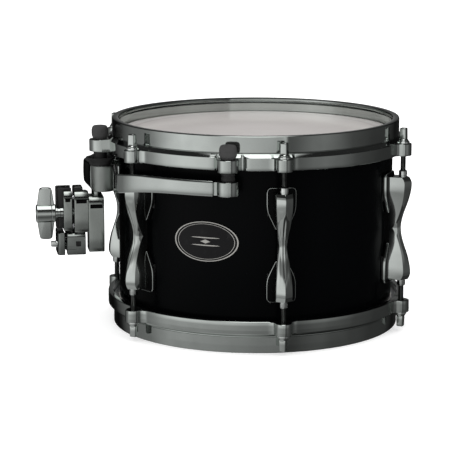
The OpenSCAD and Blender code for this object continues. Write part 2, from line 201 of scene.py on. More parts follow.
def thread(low: float, high: float, pitch: float, root: float, crest: float, rise: float = 0.5) -> Outline:
    """The outline of a thread, for turning.

    Args:
        low: the height it starts at, on the root.
        high: it ends with the first turn past this height.
        pitch: height of one turn.
        root: radius between the crests.
        crest: radius of the crests.
        rise: how far up a turn its crest lies, as a share.

    Returns:
        Points as (radius, height), ending on the root.
    """
    points: Outline = []
    while low < high:
        points += [(crest, low + pitch * rise), (root, low + pitch)]
        low += pitch
    return points


# ---- bench -----------------------------------------------------------------------------------


def pick_up(*objects: bpy.types.Object) -> None:
    """Selects only these objects and makes the first one active.

    Args:
        objects: what to select.
    """
    bpy.ops.object.select_all(action="DESELECT")
    for thing in objects:
        thing.select_set(True)
    bpy.context.view_layer.objects.active = objects[0]


class Workpiece:
    """A mesh on the bench, in millimetres until place() puts it on the drum."""

    def __init__(self, name: str) -> None:
        """Takes the object that an operator has just added.

        Args:
            name: what the piece is called.
        """
        self.obj: bpy.types.Object = bpy.context.object
        self.obj.name = name
        self.obj.data.name = name

    @contextmanager
    def edit(self, everything: bool = True, faces: FaceTest | None = None) -> Iterator[None]:
        """Opens edit mode, and closes it at the end of the block.

        Args:
            everything: starts with the whole mesh selected, or else with nothing.
            faces: selects the faces that pass this test and no others.

        Yields:
            Nothing; the block runs in edit mode.
        """
        pick_up(self.obj)
        bpy.ops.object.mode_set(mode="EDIT")
        bpy.ops.mesh.select_all(action="SELECT" if everything and faces is None else "DESELECT")
        if faces is not None:
            bpy.ops.object.mode_set(mode="OBJECT")
            for face in self.obj.data.polygons:
                face.select = faces(face)
            bpy.ops.object.mode_set(mode="EDIT")
        yield
        bpy.ops.object.mode_set(mode="OBJECT")

    @classmethod
    def ring(cls, name: str, outline: Outline, filled: bool = False) -> "Workpiece":
        """A closed ring of edges on an outline, in the XY plane.

        Args:
            name: what the piece is called.
            outline: its points.
            filled: closes it with a face.

        Returns:
            The ring.
        """
        bpy.ops.object.select_all(action="DESELECT")
        fill = "NGON" if filled else "NOTHING"
        bpy.ops.mesh.primitive_circle_add(vertices=len(outline), fill_type=fill)
        piece = cls(name)
        for vertex, (x, y) in zip(piece.obj.data.vertices, outline):
            vertex.co = (x, y, 0)
        return piece

    @classmethod
    def turned(cls, name: str, profile: Outline, steps: int = 48) -> "Workpiece":
        """A part turned on a lathe about Z.

        Args:
            name: what the piece is called.
            profile: its closed section as (radius, height).
            steps: facets round the axis.

        Returns:
            The closed part.
        """
        piece = cls.ring(name, profile)
        for vertex in piece.obj.data.vertices:
            vertex.co = (vertex.co.x, 0, vertex.co.y)
        with piece.edit():
            bpy.ops.mesh.spin(steps=steps, angle=math.tau, center=(0, 0, 0), axis=(0, 0, 1))
        piece.close_up()
        return piece

    @classmethod
    def plate(cls, name: str, outline: Outline, low: float, high: float) -> "Workpiece":
        """An outline in the XY plane, extruded upwards.

        Args:
            name: what the piece is called.
            outline: its points.
            low: height of its underside.
            high: height of its top.

        Returns:
            The plate.
        """
        piece = cls.ring(name, outline, filled=True)
        with piece.edit():
            bpy.ops.transform.translate(value=(0, 0, low))
            bpy.ops.mesh.extrude_region_move(TRANSFORM_OT_translate={"value": (0, 0, high - low)})
        piece.close_up()
        return piece

    @classmethod
    def block(cls, name: str, corners: Station, edge: float, segments: int = 3) -> "Workpiece":
        """A block with rounded edges.

        Args:
            name: what the piece is called.
            corners: two opposite corners.
            edge: width of the rounding; 0 leaves the edges sharp.
            segments: facets in the rounding.

        Returns:
            The block.
        """
        first, second = Vector(corners[0]), Vector(corners[1])
        size = second - first
        bpy.ops.object.select_all(action="DESELECT")
        bpy.ops.mesh.primitive_cube_add(size=1, location=(first + second) / 2)
        piece = cls(name)
        with piece.edit():
            bpy.ops.transform.resize(value=size)
        pick_up(piece.obj)
        bpy.ops.object.transform_apply(location=True, rotation=True, scale=True)
        return piece.bevel(edge, segments) if edge > 0 else piece

    @classmethod
    def skin(cls, name: str, stations: list[Station], wrapped: bool = False) -> "Workpiece":
        """A skin over a row of closed sections that all have as many points.

        Args:
            name: what the piece is called.
            stations: the sections in order, each a closed ring of points.
            wrapped: joins the last section to the first, in place of closing both ends.

        Returns:
            The closed skin.
        """
        rows = stations + [stations[0]] if wrapped else stations
        across = len(rows[0])
        along = len(rows) - 1
        bpy.ops.object.select_all(action="DESELECT")
        bpy.ops.mesh.primitive_grid_add(x_subdivisions=across, y_subdivisions=along, size=1)
        piece = cls(name)
        for vertex in piece.obj.data.vertices:
            column = round((vertex.co.x + 0.5) * across) % across
            row = round((vertex.co.y + 0.5) * along)
            vertex.co = rows[row][column]
        with piece.edit():
            bpy.ops.mesh.remove_doubles(threshold=0.002)
        if not wrapped:
            with piece.edit(everything=False):
                bpy.ops.mesh.select_non_manifold(extend=False)
                bpy.ops.mesh.edge_face_add()
        piece.close_up()
        return piece

    def close_up(self) -> "Workpiece":
        """Merges doubled points and turns every face outwards.

        Returns:
            The same piece.
        """
        with self.edit():
            bpy.ops.mesh.remove_doubles(threshold=0.002)
            bpy.ops.mesh.dissolve_degenerate(threshold=0.0005)
            bpy.ops.mesh.select_all(action="SELECT")
            bpy.ops.mesh.normals_make_consistent(inside=False)
        return self

    def moved(self, matrix: Matrix) -> "Workpiece":
        """Moves the mesh, and keeps its faces outwards where that mirrors it.

        Args:
            matrix: the move.

        Returns:
            The same piece.
        """
        self.obj.data.transform(matrix)
        if matrix.determinant() < 0:
            self.obj.data.flip_normals()
        self.obj.data.update()
        return self

    def apply(self, kind: str, **settings: object) -> "Workpiece":
        """Adds a modifier and applies it.

        Args:
            kind: the modifier's type.
            settings: its settings by name.

        Returns:
            The same piece.
        """
        pick_up(self.obj)
        modifier = self.obj.modifiers.new(kind.title(), kind)
        for key, value in settings.items():
            setattr(modifier, key, value)
        bpy.ops.object.modifier_apply(modifier=modifier.name)
        return self

    def bevel(self, width: float, segments: int = 3, sharper_than: float = 28.0) -> "Workpiece":
        """Rounds every edge that is sharper than an angle in degrees."""
        limits = {"limit_method": "ANGLE", "angle_limit": math.radians(sharper_than)}
        return self.apply("BEVEL", width=width, segments=segments, **limits)

    def cut(self, *cutters: "Workpiece") -> "Workpiece":
        """Cuts other pieces out of this one, and uses them up.

        Args:
            cutters: the pieces to cut with.

        Returns:
            The same piece.
        """
        for cutter in cutters:
            self.apply("BOOLEAN", operation="DIFFERENCE", solver="EXACT", object=cutter.obj)
            bpy.data.objects.remove(cutter.obj)
        return self

    def joined(self, *others: "Workpiece") -> "Workpiece":
        """Takes other pieces into this one as separate shells of the same part.

        Args:
            others: the pieces to take in.

        Returns:
            The same piece.
        """
        pick_up(self.obj, *[other.obj for other in others])
        bpy.ops.object.join()
        return self

    def copy(self, name: str) -> "Workpiece":
        """Makes another of the same, with its own mesh.

        Args:
            name: what the new one is called.

        Returns:
            The new piece.
        """
        pick_up(self.obj)
        bpy.ops.object.duplicate(linked=False)
        return Workpiece(name)

    def spread(self, places: list[Matrix]) -> "Workpiece":
        """Repeats this piece at each place, as one group of shells.

        Args:
            places: where they go.

        Returns:
            The same piece, with the others joined to it.
        """
        others = [self.copy(f"{self.obj.name}_copy").moved(place) for place in places[1:]]
        self.moved(places[0])
        return self.joined(*others)

    def coated(self, finish: "Finish", faces: FaceTest | None = None) -> "Workpiece":
        """Adds a finish to the piece.

        Args:
            finish: the surface.
            faces: gives it to the faces that pass this test.

        Returns:
            The same piece.
        """
        materials = self.obj.data.materials
        materials.append(finish.material())
        if faces is not None:
            for face in self.obj.data.polygons:
                if faces(face):
                    face.material_index = len(materials) - 1
        return self

    def place(self, name: str, body: str, slot: str, finish: "Finish", sharp: float = 32.0) -> None:
        """Puts the finished piece on the drum in place of its CAD node.

        Args:
            name: the CAD node that it stands for.
            body: the body it rides on.
            slot: a material slot name; not used.
            finish: its surface.
            sharp: edges above this angle stay sharp, in degrees.
        """
        self.obj.name = f"{name}_part"
        self.obj.data.name = self.obj.name
        self.obj.data.transform(Matrix.Scale(MM, 4))
        pick_up(self.obj)
        bpy.ops.object.shade_smooth_by_angle(angle=math.radians(sharp))
        if not self.obj.data.materials:
            self.coated(finish)
        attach(self.obj, body)
        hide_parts(name)
        log.info("%s: %d faces on %s", self.obj.name, len(self.obj.data.polygons), body)


# ---- finishes ----------------------------------------------------------------------------------


class Wire:
    """A shader value that can stand in an arithmetic expression."""

    def __init__(self, graph: "Graph", socket: bpy.types.NodeSocket) -> None:
        """Wraps a socket of a graph."""
        self.graph = graph
        self.socket = socket

    def _with(self, operation: str, first: "Wire | float", second: "Wire | float") -> "Wire":
        """Adds the Math node of one operation."""
        return self.graph.node("ShaderNodeMath", {"operation": operation}, {0: first, 1: second})

    def __add__(self, other: "Wire | float") -> "Wire":
        """The sum."""
        return self._with("ADD", self, other)

    def __radd__(self, other: float) -> "Wire":
        """The sum with a number first."""
        return self._with("ADD", other, self)

    def __sub__(self, other: "Wire | float") -> "Wire":
        """The difference."""
        return self._with("SUBTRACT", self, other)

    def __rsub__(self, other: float) -> "Wire":
        """The difference with a number first."""
        return self._with("SUBTRACT", other, self)

    def __mul__(self, other: "Wire | float") -> "Wire":
        """The product."""
        return self._with("MULTIPLY", self, other)

    def __rmul__(self, other: float) -> "Wire":
        """The product with a number first."""
        return self._with("MULTIPLY", other, self)

    def band(self, low: float, high: float, to_low: float = 0.0, to_high: float = 1.0) -> "Wire":
        """Eases from one level to another over a stretch of this value, and holds beyond it.

        Args:
            low: where the stretch starts.
            high: where it ends.
            to_low: the level at its start.
            to_high: the level at its end.

        Returns:
            The eased value.
        """
        inputs = {0: self, 1: low, 2: high, 3: to_low, 4: to_high}
        return self.graph.node("ShaderNodeMapRange", {"interpolation_type": "SMOOTHSTEP"}, inputs)


class Graph:
    """The node tree of one finish or of the world."""

    def __init__(self, tree: bpy.types.NodeTree) -> None:
        """Starts from an empty tree."""
        self.tree = tree
        tree.nodes.clear()

    def node(
        self, kind: str, settings: dict | None = None, inputs: dict | None = None, out: int = 0
    ) -> Wire:
        """Adds a node.

        Args:
            kind: the node's type.
            settings: its own settings, set first; stops are a ramp's (place, colour) pairs.
            inputs: values or wires for its sockets, by name or number.
            out: which output to return.

        Returns:
            The chosen output.
        """
        made = self.tree.nodes.new(kind)
        for key, value in (settings or {}).items():
            if key == "stops":
                self._set_stops(made.color_ramp, value)
            else:
                setattr(made, key, value)
        for key, value in (inputs or {}).items():
            if isinstance(value, Wire):
                self.tree.links.new(value.socket, made.inputs[key])
            else:
                made.inputs[key].default_value = value
        return Wire(self, made.outputs[out] if made.outputs else None)

    @staticmethod
    def _set_stops(ramp: bpy.types.ColorRamp, stops: list[tuple[float, Colour]]) -> None:
        """Gives a ramp its stops.

        Args:
            ramp: the ramp.
            stops: pairs of place and colour, in growing order.
        """
        while len(ramp.elements) < len(stops):
            ramp.elements.new(0.5)
        for element, (place, colour) in zip(ramp.elements, stops):
            element.position = place
            element.color = (*colour, 1)

    def place(self) -> Wire:
        """Object coordinates, in metres."""
        return self.node("ShaderNodeTexCoord", out=3)

    def axes(self) -> tuple[Wire, Wire, Wire]:
        """Splits the object coordinates.

        Returns:
            X, Y and Z, in metres.
        """
        split = self.node("ShaderNodeSeparateXYZ", {}, {0: self.place()})
        outputs = split.socket.node.outputs
        return Wire(self, outputs[0]), Wire(self, outputs[1]), Wire(self, outputs[2])

    def stretched(self, scale: tuple[float, float, float]) -> Wire:
        """Object coordinates with each axis scaled."""
        return self.node("ShaderNodeMapping", {}, {0: self.place(), 3: scale})

    def noise(self, scale: float, detail: float = 3.0, vector: Wire | None = None) -> Wire:
        """Cloudy noise; scale is features per metre of its vector."""
        inputs = {"Vector": vector or self.place(), "Scale": scale, "Detail": detail}
        return self.node("ShaderNodeTexNoise", {}, inputs)

    def mix(self, share: Wire | float, first: "Colour | Wire", second: "Colour | Wire") -> Wire:
        """Blends two colours."""
        inputs = {0: share, 6: self.paint(first), 7: self.paint(second)}
        return self.node("ShaderNodeMix", {"data_type": "RGBA"}, inputs, out=2)

    @staticmethod
    def paint(colour: "Colour | Wire") -> "tuple[float, float, float, float] | Wire":
        """A colour with its alpha, or the wire as it is."""
        return colour if isinstance(colour, Wire) else (*colour, 1.0)

    def bump(self, height: Wire, depth: float) -> Wire:
        """Relief of a height map; depth is the metres that a height of 1 stands up."""
        return self.node("ShaderNodeBump", {}, {"Height": height, "Distance": depth, "Strength": 1.0})

    def surface(self, inputs: dict) -> None:
        """Ends the tree with a Principled surface."""
        shader = self.node("ShaderNodeBsdfPrincipled", {}, inputs)
        self.node("ShaderNodeOutputMaterial", {}, {0: shader})


@dataclass(frozen=True)
class Finish:
    """A surface. Each kind of finish fills in its own tree."""

    name: str

    def material(self) -> bpy.types.Material:
        """Makes the finish's material, or finds it if it is already made.

        Returns:
            The material.
        """
        made = bpy.data.materials.get(self.name)
        if made is None:
            made = bpy.data.materials.new(self.name)
            made.use_nodes = True
            self.fill(Graph(made.node_tree))
        return made

    def fill(self, graph: Graph) -> None:
        """Builds the finish's nodes in an empty tree."""
        raise NotImplementedError


@dataclass(frozen=True)
class Plating(Finish):
    """Polished dark nickel over a casting: faint mottling, fine polishing marks and smudges."""

    tint: Colour = (0.49, 0.522, 0.5)
    rough: float = 0.05
    marks: float = 0.35
    grain: Grain = Grain.AROUND

    def _streaks(self, graph: Graph) -> Wire:
        """Makes fine streaks that run with the grain.

        Args:
            graph: the material's tree.

        Returns:
            The streaks, from 0 to 1.
        """
        if self.grain is Grain.AROUND:
            x, y, z = graph.axes()
            angle = graph.node("ShaderNodeMath", {"operation": "ARCTAN2"}, {0: x, 1: y})
            lanes = graph.node("ShaderNodeCombineXYZ", {}, {0: angle * 5.0, 1: z * 2600.0, 2: 0.0})
            return graph.noise(1.0, 4.0, lanes)
        upright = self.grain is Grain.UPRIGHT
        lanes = graph.stretched((1400, 1400, 45) if upright else (60, 60, 2200))
        return graph.noise(1.0, 4.0, lanes)

    def fill(self, graph: Graph) -> None:
        """Builds the plating's nodes.

        Args:
            graph: the material's empty tree.
        """
        clouds = graph.noise(34.0, 4.0)
        smudges = graph.noise(120.0, 6.0).band(0.5, 0.72)
        streaks = self._streaks(graph)
        pits = graph.noise(900.0, 2.0).band(0.66, 0.8)
        darker = tuple(0.86 * part for part in self.tint)
        colour = graph.mix(clouds.band(0.3, 0.75), self.tint, darker)
        rough = self.rough + streaks * (0.1 * self.marks) + smudges * 0.05 + pits * 0.06
        relief = graph.bump(streaks - pits * 0.6, 0.000012 * self.marks)
        inputs = {"Base Color": colour, "Metallic": 1.0, "Roughness": rough, "Normal": relief}
        graph.surface(inputs)


@dataclass(frozen=True)
class Lacquer(Finish):
    """Deep black lacquer over wood, with a trace of orange peel and hairline scratches."""

    tint: Colour = (0.0007, 0.0009, 0.0011)

    def fill(self, graph: Graph) -> None:
        """Builds the lacquer's nodes.

        Args:
            graph: the material's empty tree.
        """
        peel = graph.noise(260.0, 2.0)
        scratch = graph.noise(1.0, 5.0, graph.stretched((500, 500, 40))).band(0.6, 0.75)
        dust = graph.noise(1500.0, 2.0).band(0.7, 0.8)
        colour = graph.mix(dust * 0.12, self.tint, (0.012, 0.013, 0.014))
        inputs = {
            "Base Color": colour,
            "Roughness": 0.2 + scratch * 0.08 + peel * 0.05,
            "Specular IOR Level": 0.042,
            "Normal": graph.bump(peel + scratch * 0.2, 0.00001),
        }
        graph.surface(inputs)


@dataclass(frozen=True)
class Film(Finish):
    """Pale coated polyester film, a little worn in the middle and paler towards its edge; a painted
    reflection of the hoop lies near the edge.
    """

    tint: Colour = (0.55, 0.52, 0.505)
    # The paler colour towards the edge, also used for the painted reflection ring.
    rim: Colour = (0.72, 0.7, 0.68)

    def fill(self, graph: Graph) -> None:
        """Builds the film's nodes.

        Args:
            graph: the material's empty tree.
        """
        x, y, _ = graph.axes()
        radius = graph.node("ShaderNodeMath", {"operation": "SQRT"}, {0: x * x + y * y})
        # Painted reflection of the hoop's wall: a pale ring near the edge and a thin dark line just inside
        # it.
        edge = radius.band(0.1165, 0.1185)
        reflected_dark_line = radius.band(0.1128, 0.1134) * radius.band(0.1144, 0.1138, 0.0, 1.0)
        coat = graph.noise(900.0, 3.0)
        clouds = graph.noise(22.0, 3.0)
        worn = radius.band(0.07, 0.0) * graph.noise(60.0, 5.0).band(0.45, 0.8)
        paler = graph.mix(radius.band(0.06, 0.115) * 0.3, self.tint, self.rim)
        flat = graph.mix(clouds.band(0.3, 0.8) * 0.25, paler, (0.5, 0.472, 0.458))
        used = graph.mix(worn * 0.25, flat, (0.36, 0.34, 0.33))
        # Paints the reflected dark line and the reflected pale ring over the film's own colour.
        colour = graph.mix(reflected_dark_line * 0.3, graph.mix(edge * 0.75, used, self.rim), (0.24, 0.23, 0.225))
        inputs = {
            "Base Color": colour,
            "Roughness": 0.1 + coat * 0.05 + worn * 0.1,
            "Specular IOR Level": 0.5,
            "Normal": graph.bump(coat, 0.000004),
        }
        graph.surface(inputs)


@dataclass(frozen=True)
class Moulded(Finish):
    """Moulded rubber or nylon: a fine grain, scuffed paler here and there."""

    tint: Colour = (0.028, 0.029, 0.028)
    rough: float = 0.55
    grain_size: float = 1800.0
    relief: float = 0.00003
    level: float = 0.35

    def fill(self, graph: Graph) -> None:
        """Builds the moulding's nodes.

        Args:
            graph: the material's empty tree.
        """
        grain = graph.noise(self.grain_size, 3.0)
        scuffs = graph.noise(140.0, 5.0).band(0.52, 0.75)
        paler = tuple(1.7 * part + 0.006 for part in self.tint)
        inputs = {
            "Base Color": graph.mix(scuffs * 0.5 + grain * 0.15, self.tint, paler),
            "Roughness": self.rough + scuffs * 0.12 + grain * 0.06,
            "Specular IOR Level": self.level,
            "Normal": graph.bump(grain, self.relief),
        }
        graph.surface(inputs)


@dataclass(frozen=True)
class Steel(Finish):
    """Zinc-plated steel or mill-finish alloy: spangled grey and fairly dull."""

    tint: Colour = (0.5, 0.51, 0.52)
    rough: float = 0.3

    def fill(self, graph: Graph) -> None:
        """Builds the steel's nodes.

        Args:
            graph: the material's empty tree.
        """
        spangle = graph.node("ShaderNodeTexVoronoi", {}, {"Vector": graph.place(), "Scale": 700.0})
        stain = graph.noise(80.0, 4.0).band(0.5, 0.8)
        darker = tuple(0.7 * part for part in self.tint)
        inputs = {
            "Base Color": graph.mix(stain * 0.6 + spangle * 0.3, self.tint, darker),
            "Metallic": 1.0,
            "Roughness": self.rough + spangle * 0.12 + stain * 0.1,
            "Normal": graph.bump(spangle, 0.00001),
        }
        graph.surface(inputs)


HOOP_NICKEL = Plating("hoop_nickel")
LUG_NICKEL = Plating("lug_nickel", (0.54, 0.572, 0.55), 0.045, 0.25, Grain.UPRIGHT)
ARM_NICKEL = Plating("arm_nickel", (0.47, 0.5, 0.48), 0.07, 0.6)
BRACKET_NICKEL = Plating("bracket_nickel", (0.35, 0.375, 0.355), 0.12, 0.7, Grain.UPRIGHT)
LOCK_NICKEL = Plating("lock_nickel", (0.2, 0.215, 0.205), 0.14, 0.7, Grain.LEVEL)
WING_NICKEL = Plating("wing_nickel", (0.5, 0.53, 0.51), 0.1, 0.5, Grain.LEVEL)
ROD_NICKEL = Plating("rod_nickel", (0.52, 0.55, 0.53), 0.07, 0.4, Grain.UPRIGHT)
THREAD = Steel("rod_thread", (0.16, 0.165, 0.16), 0.25)
ARM_SATIN = Plating("arm_satin", (0.42, 0.445, 0.425), 0.42, 1.0, Grain.UPRIGHT)
SMALL_NICKEL = Plating("small_nickel", (0.74, 0.77, 0.75), 0.08)
BADGE_LINE = Moulded("badge_line", (0.25, 0.245, 0.23), 0.4, level=0.2)
BLACK_LACQUER = Lacquer("black_lacquer")
PALE_FILM = Film("pale_film")
KNOB_RUBBER = Moulded("knob_rubber", (0.006, 0.0064, 0.006), 0.5, level=0.15)
BUSH_RUBBER = Moulded("bush_rubber", (0.012, 0.012, 0.012), 0.5)
PAD_RUBBER = Moulded("pad_rubber", (0.01, 0.01, 0.01), 0.6)
# Near-black painted shade, for plated faces that only look dark: the outer faces of the lug feet and the
# clamp pockets.
PAINTED_SHADE_BLACK = Lacquer("painted_shade_black", (0.0015, 0.0016, 0.0017))
SADDLE_NYLON = Moulded("saddle_nylon", (0.008, 0.008, 0.008), 0.35, 1200.0, 0.00002, 0.5)
BADGE_BLACK = Moulded("badge_black", (0.004, 0.004, 0.0045), 0.3, 2400.0, 0.000008, 0.15)
ZINC = Steel("zinc_steel")
MILL_ALLOY = Steel("mill_alloy", (0.7, 0.71, 0.72), 0.25)


def dress(node: str, finish: Finish) -> None:
    """Gives a CAD node that stays in view its finish.

    Args:
        node: the node's name.
        finish: its surface.
    """
    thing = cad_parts[node]
    if not thing.material_slots:
        thing.data.materials.append(finish.material())
    for slot in thing.material_slots:
        slot.material = finish.material()
    log.info("%s keeps its CAD shape", node)


# ---- drum --------------------------------------------------------------------------------------


@dataclass
class Shell:
    """The wooden shell with its bearing edges, vent and badge."""

    wall: float = 6.0
    low: float = 13.5
    high: float = 178.5
    vent_z: float = 96.0
    vent_r: float = 5.5
    vent_turn: float = 150.0
    badge_angle: float = -19.9
    badge_z: float = 97.5
    badge_half_w: float = 30.3
    badge_half_h: float = 18.0

    def section(self) -> Outline:
        """Draws the wall's section, with a bearing edge cut inwards at each end.

        Returns:
            The section as (radius, height).
        """
        inner = SHELL_R - self.wall
        corners = [
            (inner, self.low + 5, 0.6), (SHELL_R - 1, self.low, 0.5), (SHELL_R, self.low + 1, 0.3),
            (SHELL_R, self.high - 1, 0.3), (SHELL_R - 1, self.high, 0.5), (inner, self.high - 5, 0.6),
        ]
        return softened(corners, 3)

    def build(self) -> None:
        """Turns the shell, bores its vent and adds the badge."""
        wall = Workpiece.turned("shell", self.section(), 360)
        vent = Workpiece.turned("vent", [(0, -6), (self.vent_r, -6), (self.vent_r, 8), (0, 8)], 40)
        inwards = Matrix.Translation((-4, 0, self.vent_z)) @ ALONG_U
        wall.cut(vent.moved(at_angle(lug_angle(1) + self.vent_turn, SHELL_R) @ inwards))
        wall.place("shell", "drum", "shell_lacquer", BLACK_LACQUER)
        dress("vent_grommet", SMALL_NICKEL)
        self.build_badge()

    def on_shell(self, across: float, up: float, radius: float) -> tuple[float, float, float]:
        """A point of the badge, bent round the shell."""
        angle = math.radians(self.badge_angle) + across / SHELL_R
        return (radius * math.sin(angle), -radius * math.cos(angle), self.badge_z + up)

    def oval(self, share: float, radius: float, count: int = 96) -> Station:
        """A ring of the badge.

        Args:
            share: its size, as a share of the badge's.
            radius: how far from the drum's axis it lies.
            count: how many points it has.

        Returns:
            The ring.
        """
        ring: Station = []
        for place in range(count):
            turn = 360 * place / count
            across = self.badge_half_w * share * cosd(turn)
            up = self.badge_half_h * share * sind(turn)
            ring.append(self.on_shell(across, up, radius))
        return ring

    def build_badge(self) -> None:
        """Makes the oval plate with a double pale border, two plain bars and a lozenge."""
        back, face, rib = SHELL_R + 0.1, SHELL_R + 0.75, SHELL_R + 1.05
        rings = [
            (1.0, back), (1.0, face), (0.985, rib), (0.945, rib), (0.93, face),
            (0.885, face), (0.88, rib - 0.1), (0.862, rib - 0.1), (0.857, face),
            (0.7, face), (0.4, face), (0.1, face),
        ]
        plate = Workpiece.skin("badge", [self.oval(share, radius) for share, radius in rings])
        plate.coated(BADGE_BLACK)
        plate.coated(BADGE_LINE, lambda face: math.hypot(face.center.x, face.center.y) > SHELL_R + 0.93)
        marks = [self.bar(-3.4, 13.0, 0.55), self.bar(3.4, 13.0, 0.55), self.lozenge(4.6, 1.9)]
        plate.joined(*[mark.coated(BADGE_LINE) for mark in marks])
        plate.place("badge", "drum", "badge_plate", BADGE_BLACK)

    def raised(self, across: float, up: float, half: float, top: float, taper: float) -> Station:
        """A section of a mark that stands on the badge.

        Args:
            across: where it is, along the badge.
            up: the height of its middle.
            half: half its height.
            top: how far it stands off the shell.
            taper: the height of its top face, as a share.

        Returns:
            The section's four points.
        """
        low, high = SHELL_R + 0.7, SHELL_R + top
        points = [(-half, low), (-half * taper, high), (half * taper, high), (half, low)]
        return [self.on_shell(across, up + offset, radius) for offset, radius in points]

    def bar(self, up: float, half_length: float, half_height: float) -> Workpiece:
        """A raised bar on the badge, tapered at both ends.

        Args:
            up: its height from the badge's middle.
            half_length: half its length.
            half_height: half its height in the middle.

        Returns:
            The bar.
        """
        stations: list[Station] = []
        for step in range(-12, 13):
            share = step / 12
            half = half_height * math.sqrt(max(0.02, 1 - share * share))
            stations.append(self.raised(half_length * share, up, half, 1.02, 0.8))
        return Workpiece.skin("badge_bar", stations)

    def lozenge(self, half_length: float, half_height: float) -> Workpiece:
        """A raised four-sided lozenge in the badge's middle.

        Args:
            half_length: half its length.
            half_height: half its height.

        Returns:
            The lozenge.
        """
        stations: list[Station] = []
        for step in range(-4, 5):
            share = step / 4
            half = max(0.05, half_height * (1 - abs(share)))
            stations.append(self.raised(half_length * share, 0.0, half, 1.0, 0.7))
        return Workpiece.skin("badge_lozenge", stations)


@dataclass
class Head:
    """A film and the flesh hoop that it is bonded to."""

    side: Side
    film: float = 0.35
    top: float = 178.95
    skirt: float = 167.5

    def build(self) -> None:
        """Turns the film and dresses the flesh hoop."""
        low, skirt = self.top - self.film, self.skirt
        profile = [
            (0, low), (60, low), (112, low), (126.1, low), (127.1, low - 1), (127.1, skirt),
            (127.75, skirt), (127.55, self.top - 1.35), (127.0, self.top - 0.55),
            (126.2, self.top), (112, self.top), (60, self.top), (0, self.top),
        ]
        film = Workpiece.turned(f"{self.side.value}_film", profile, 240)
        film.moved(flipped(self.side))
        film.place(f"{self.side.value}_head", "drum", "drum_film", PALE_FILM)
        dress(f"{self.side.value}_flesh_hoop", MILL_ALLOY)


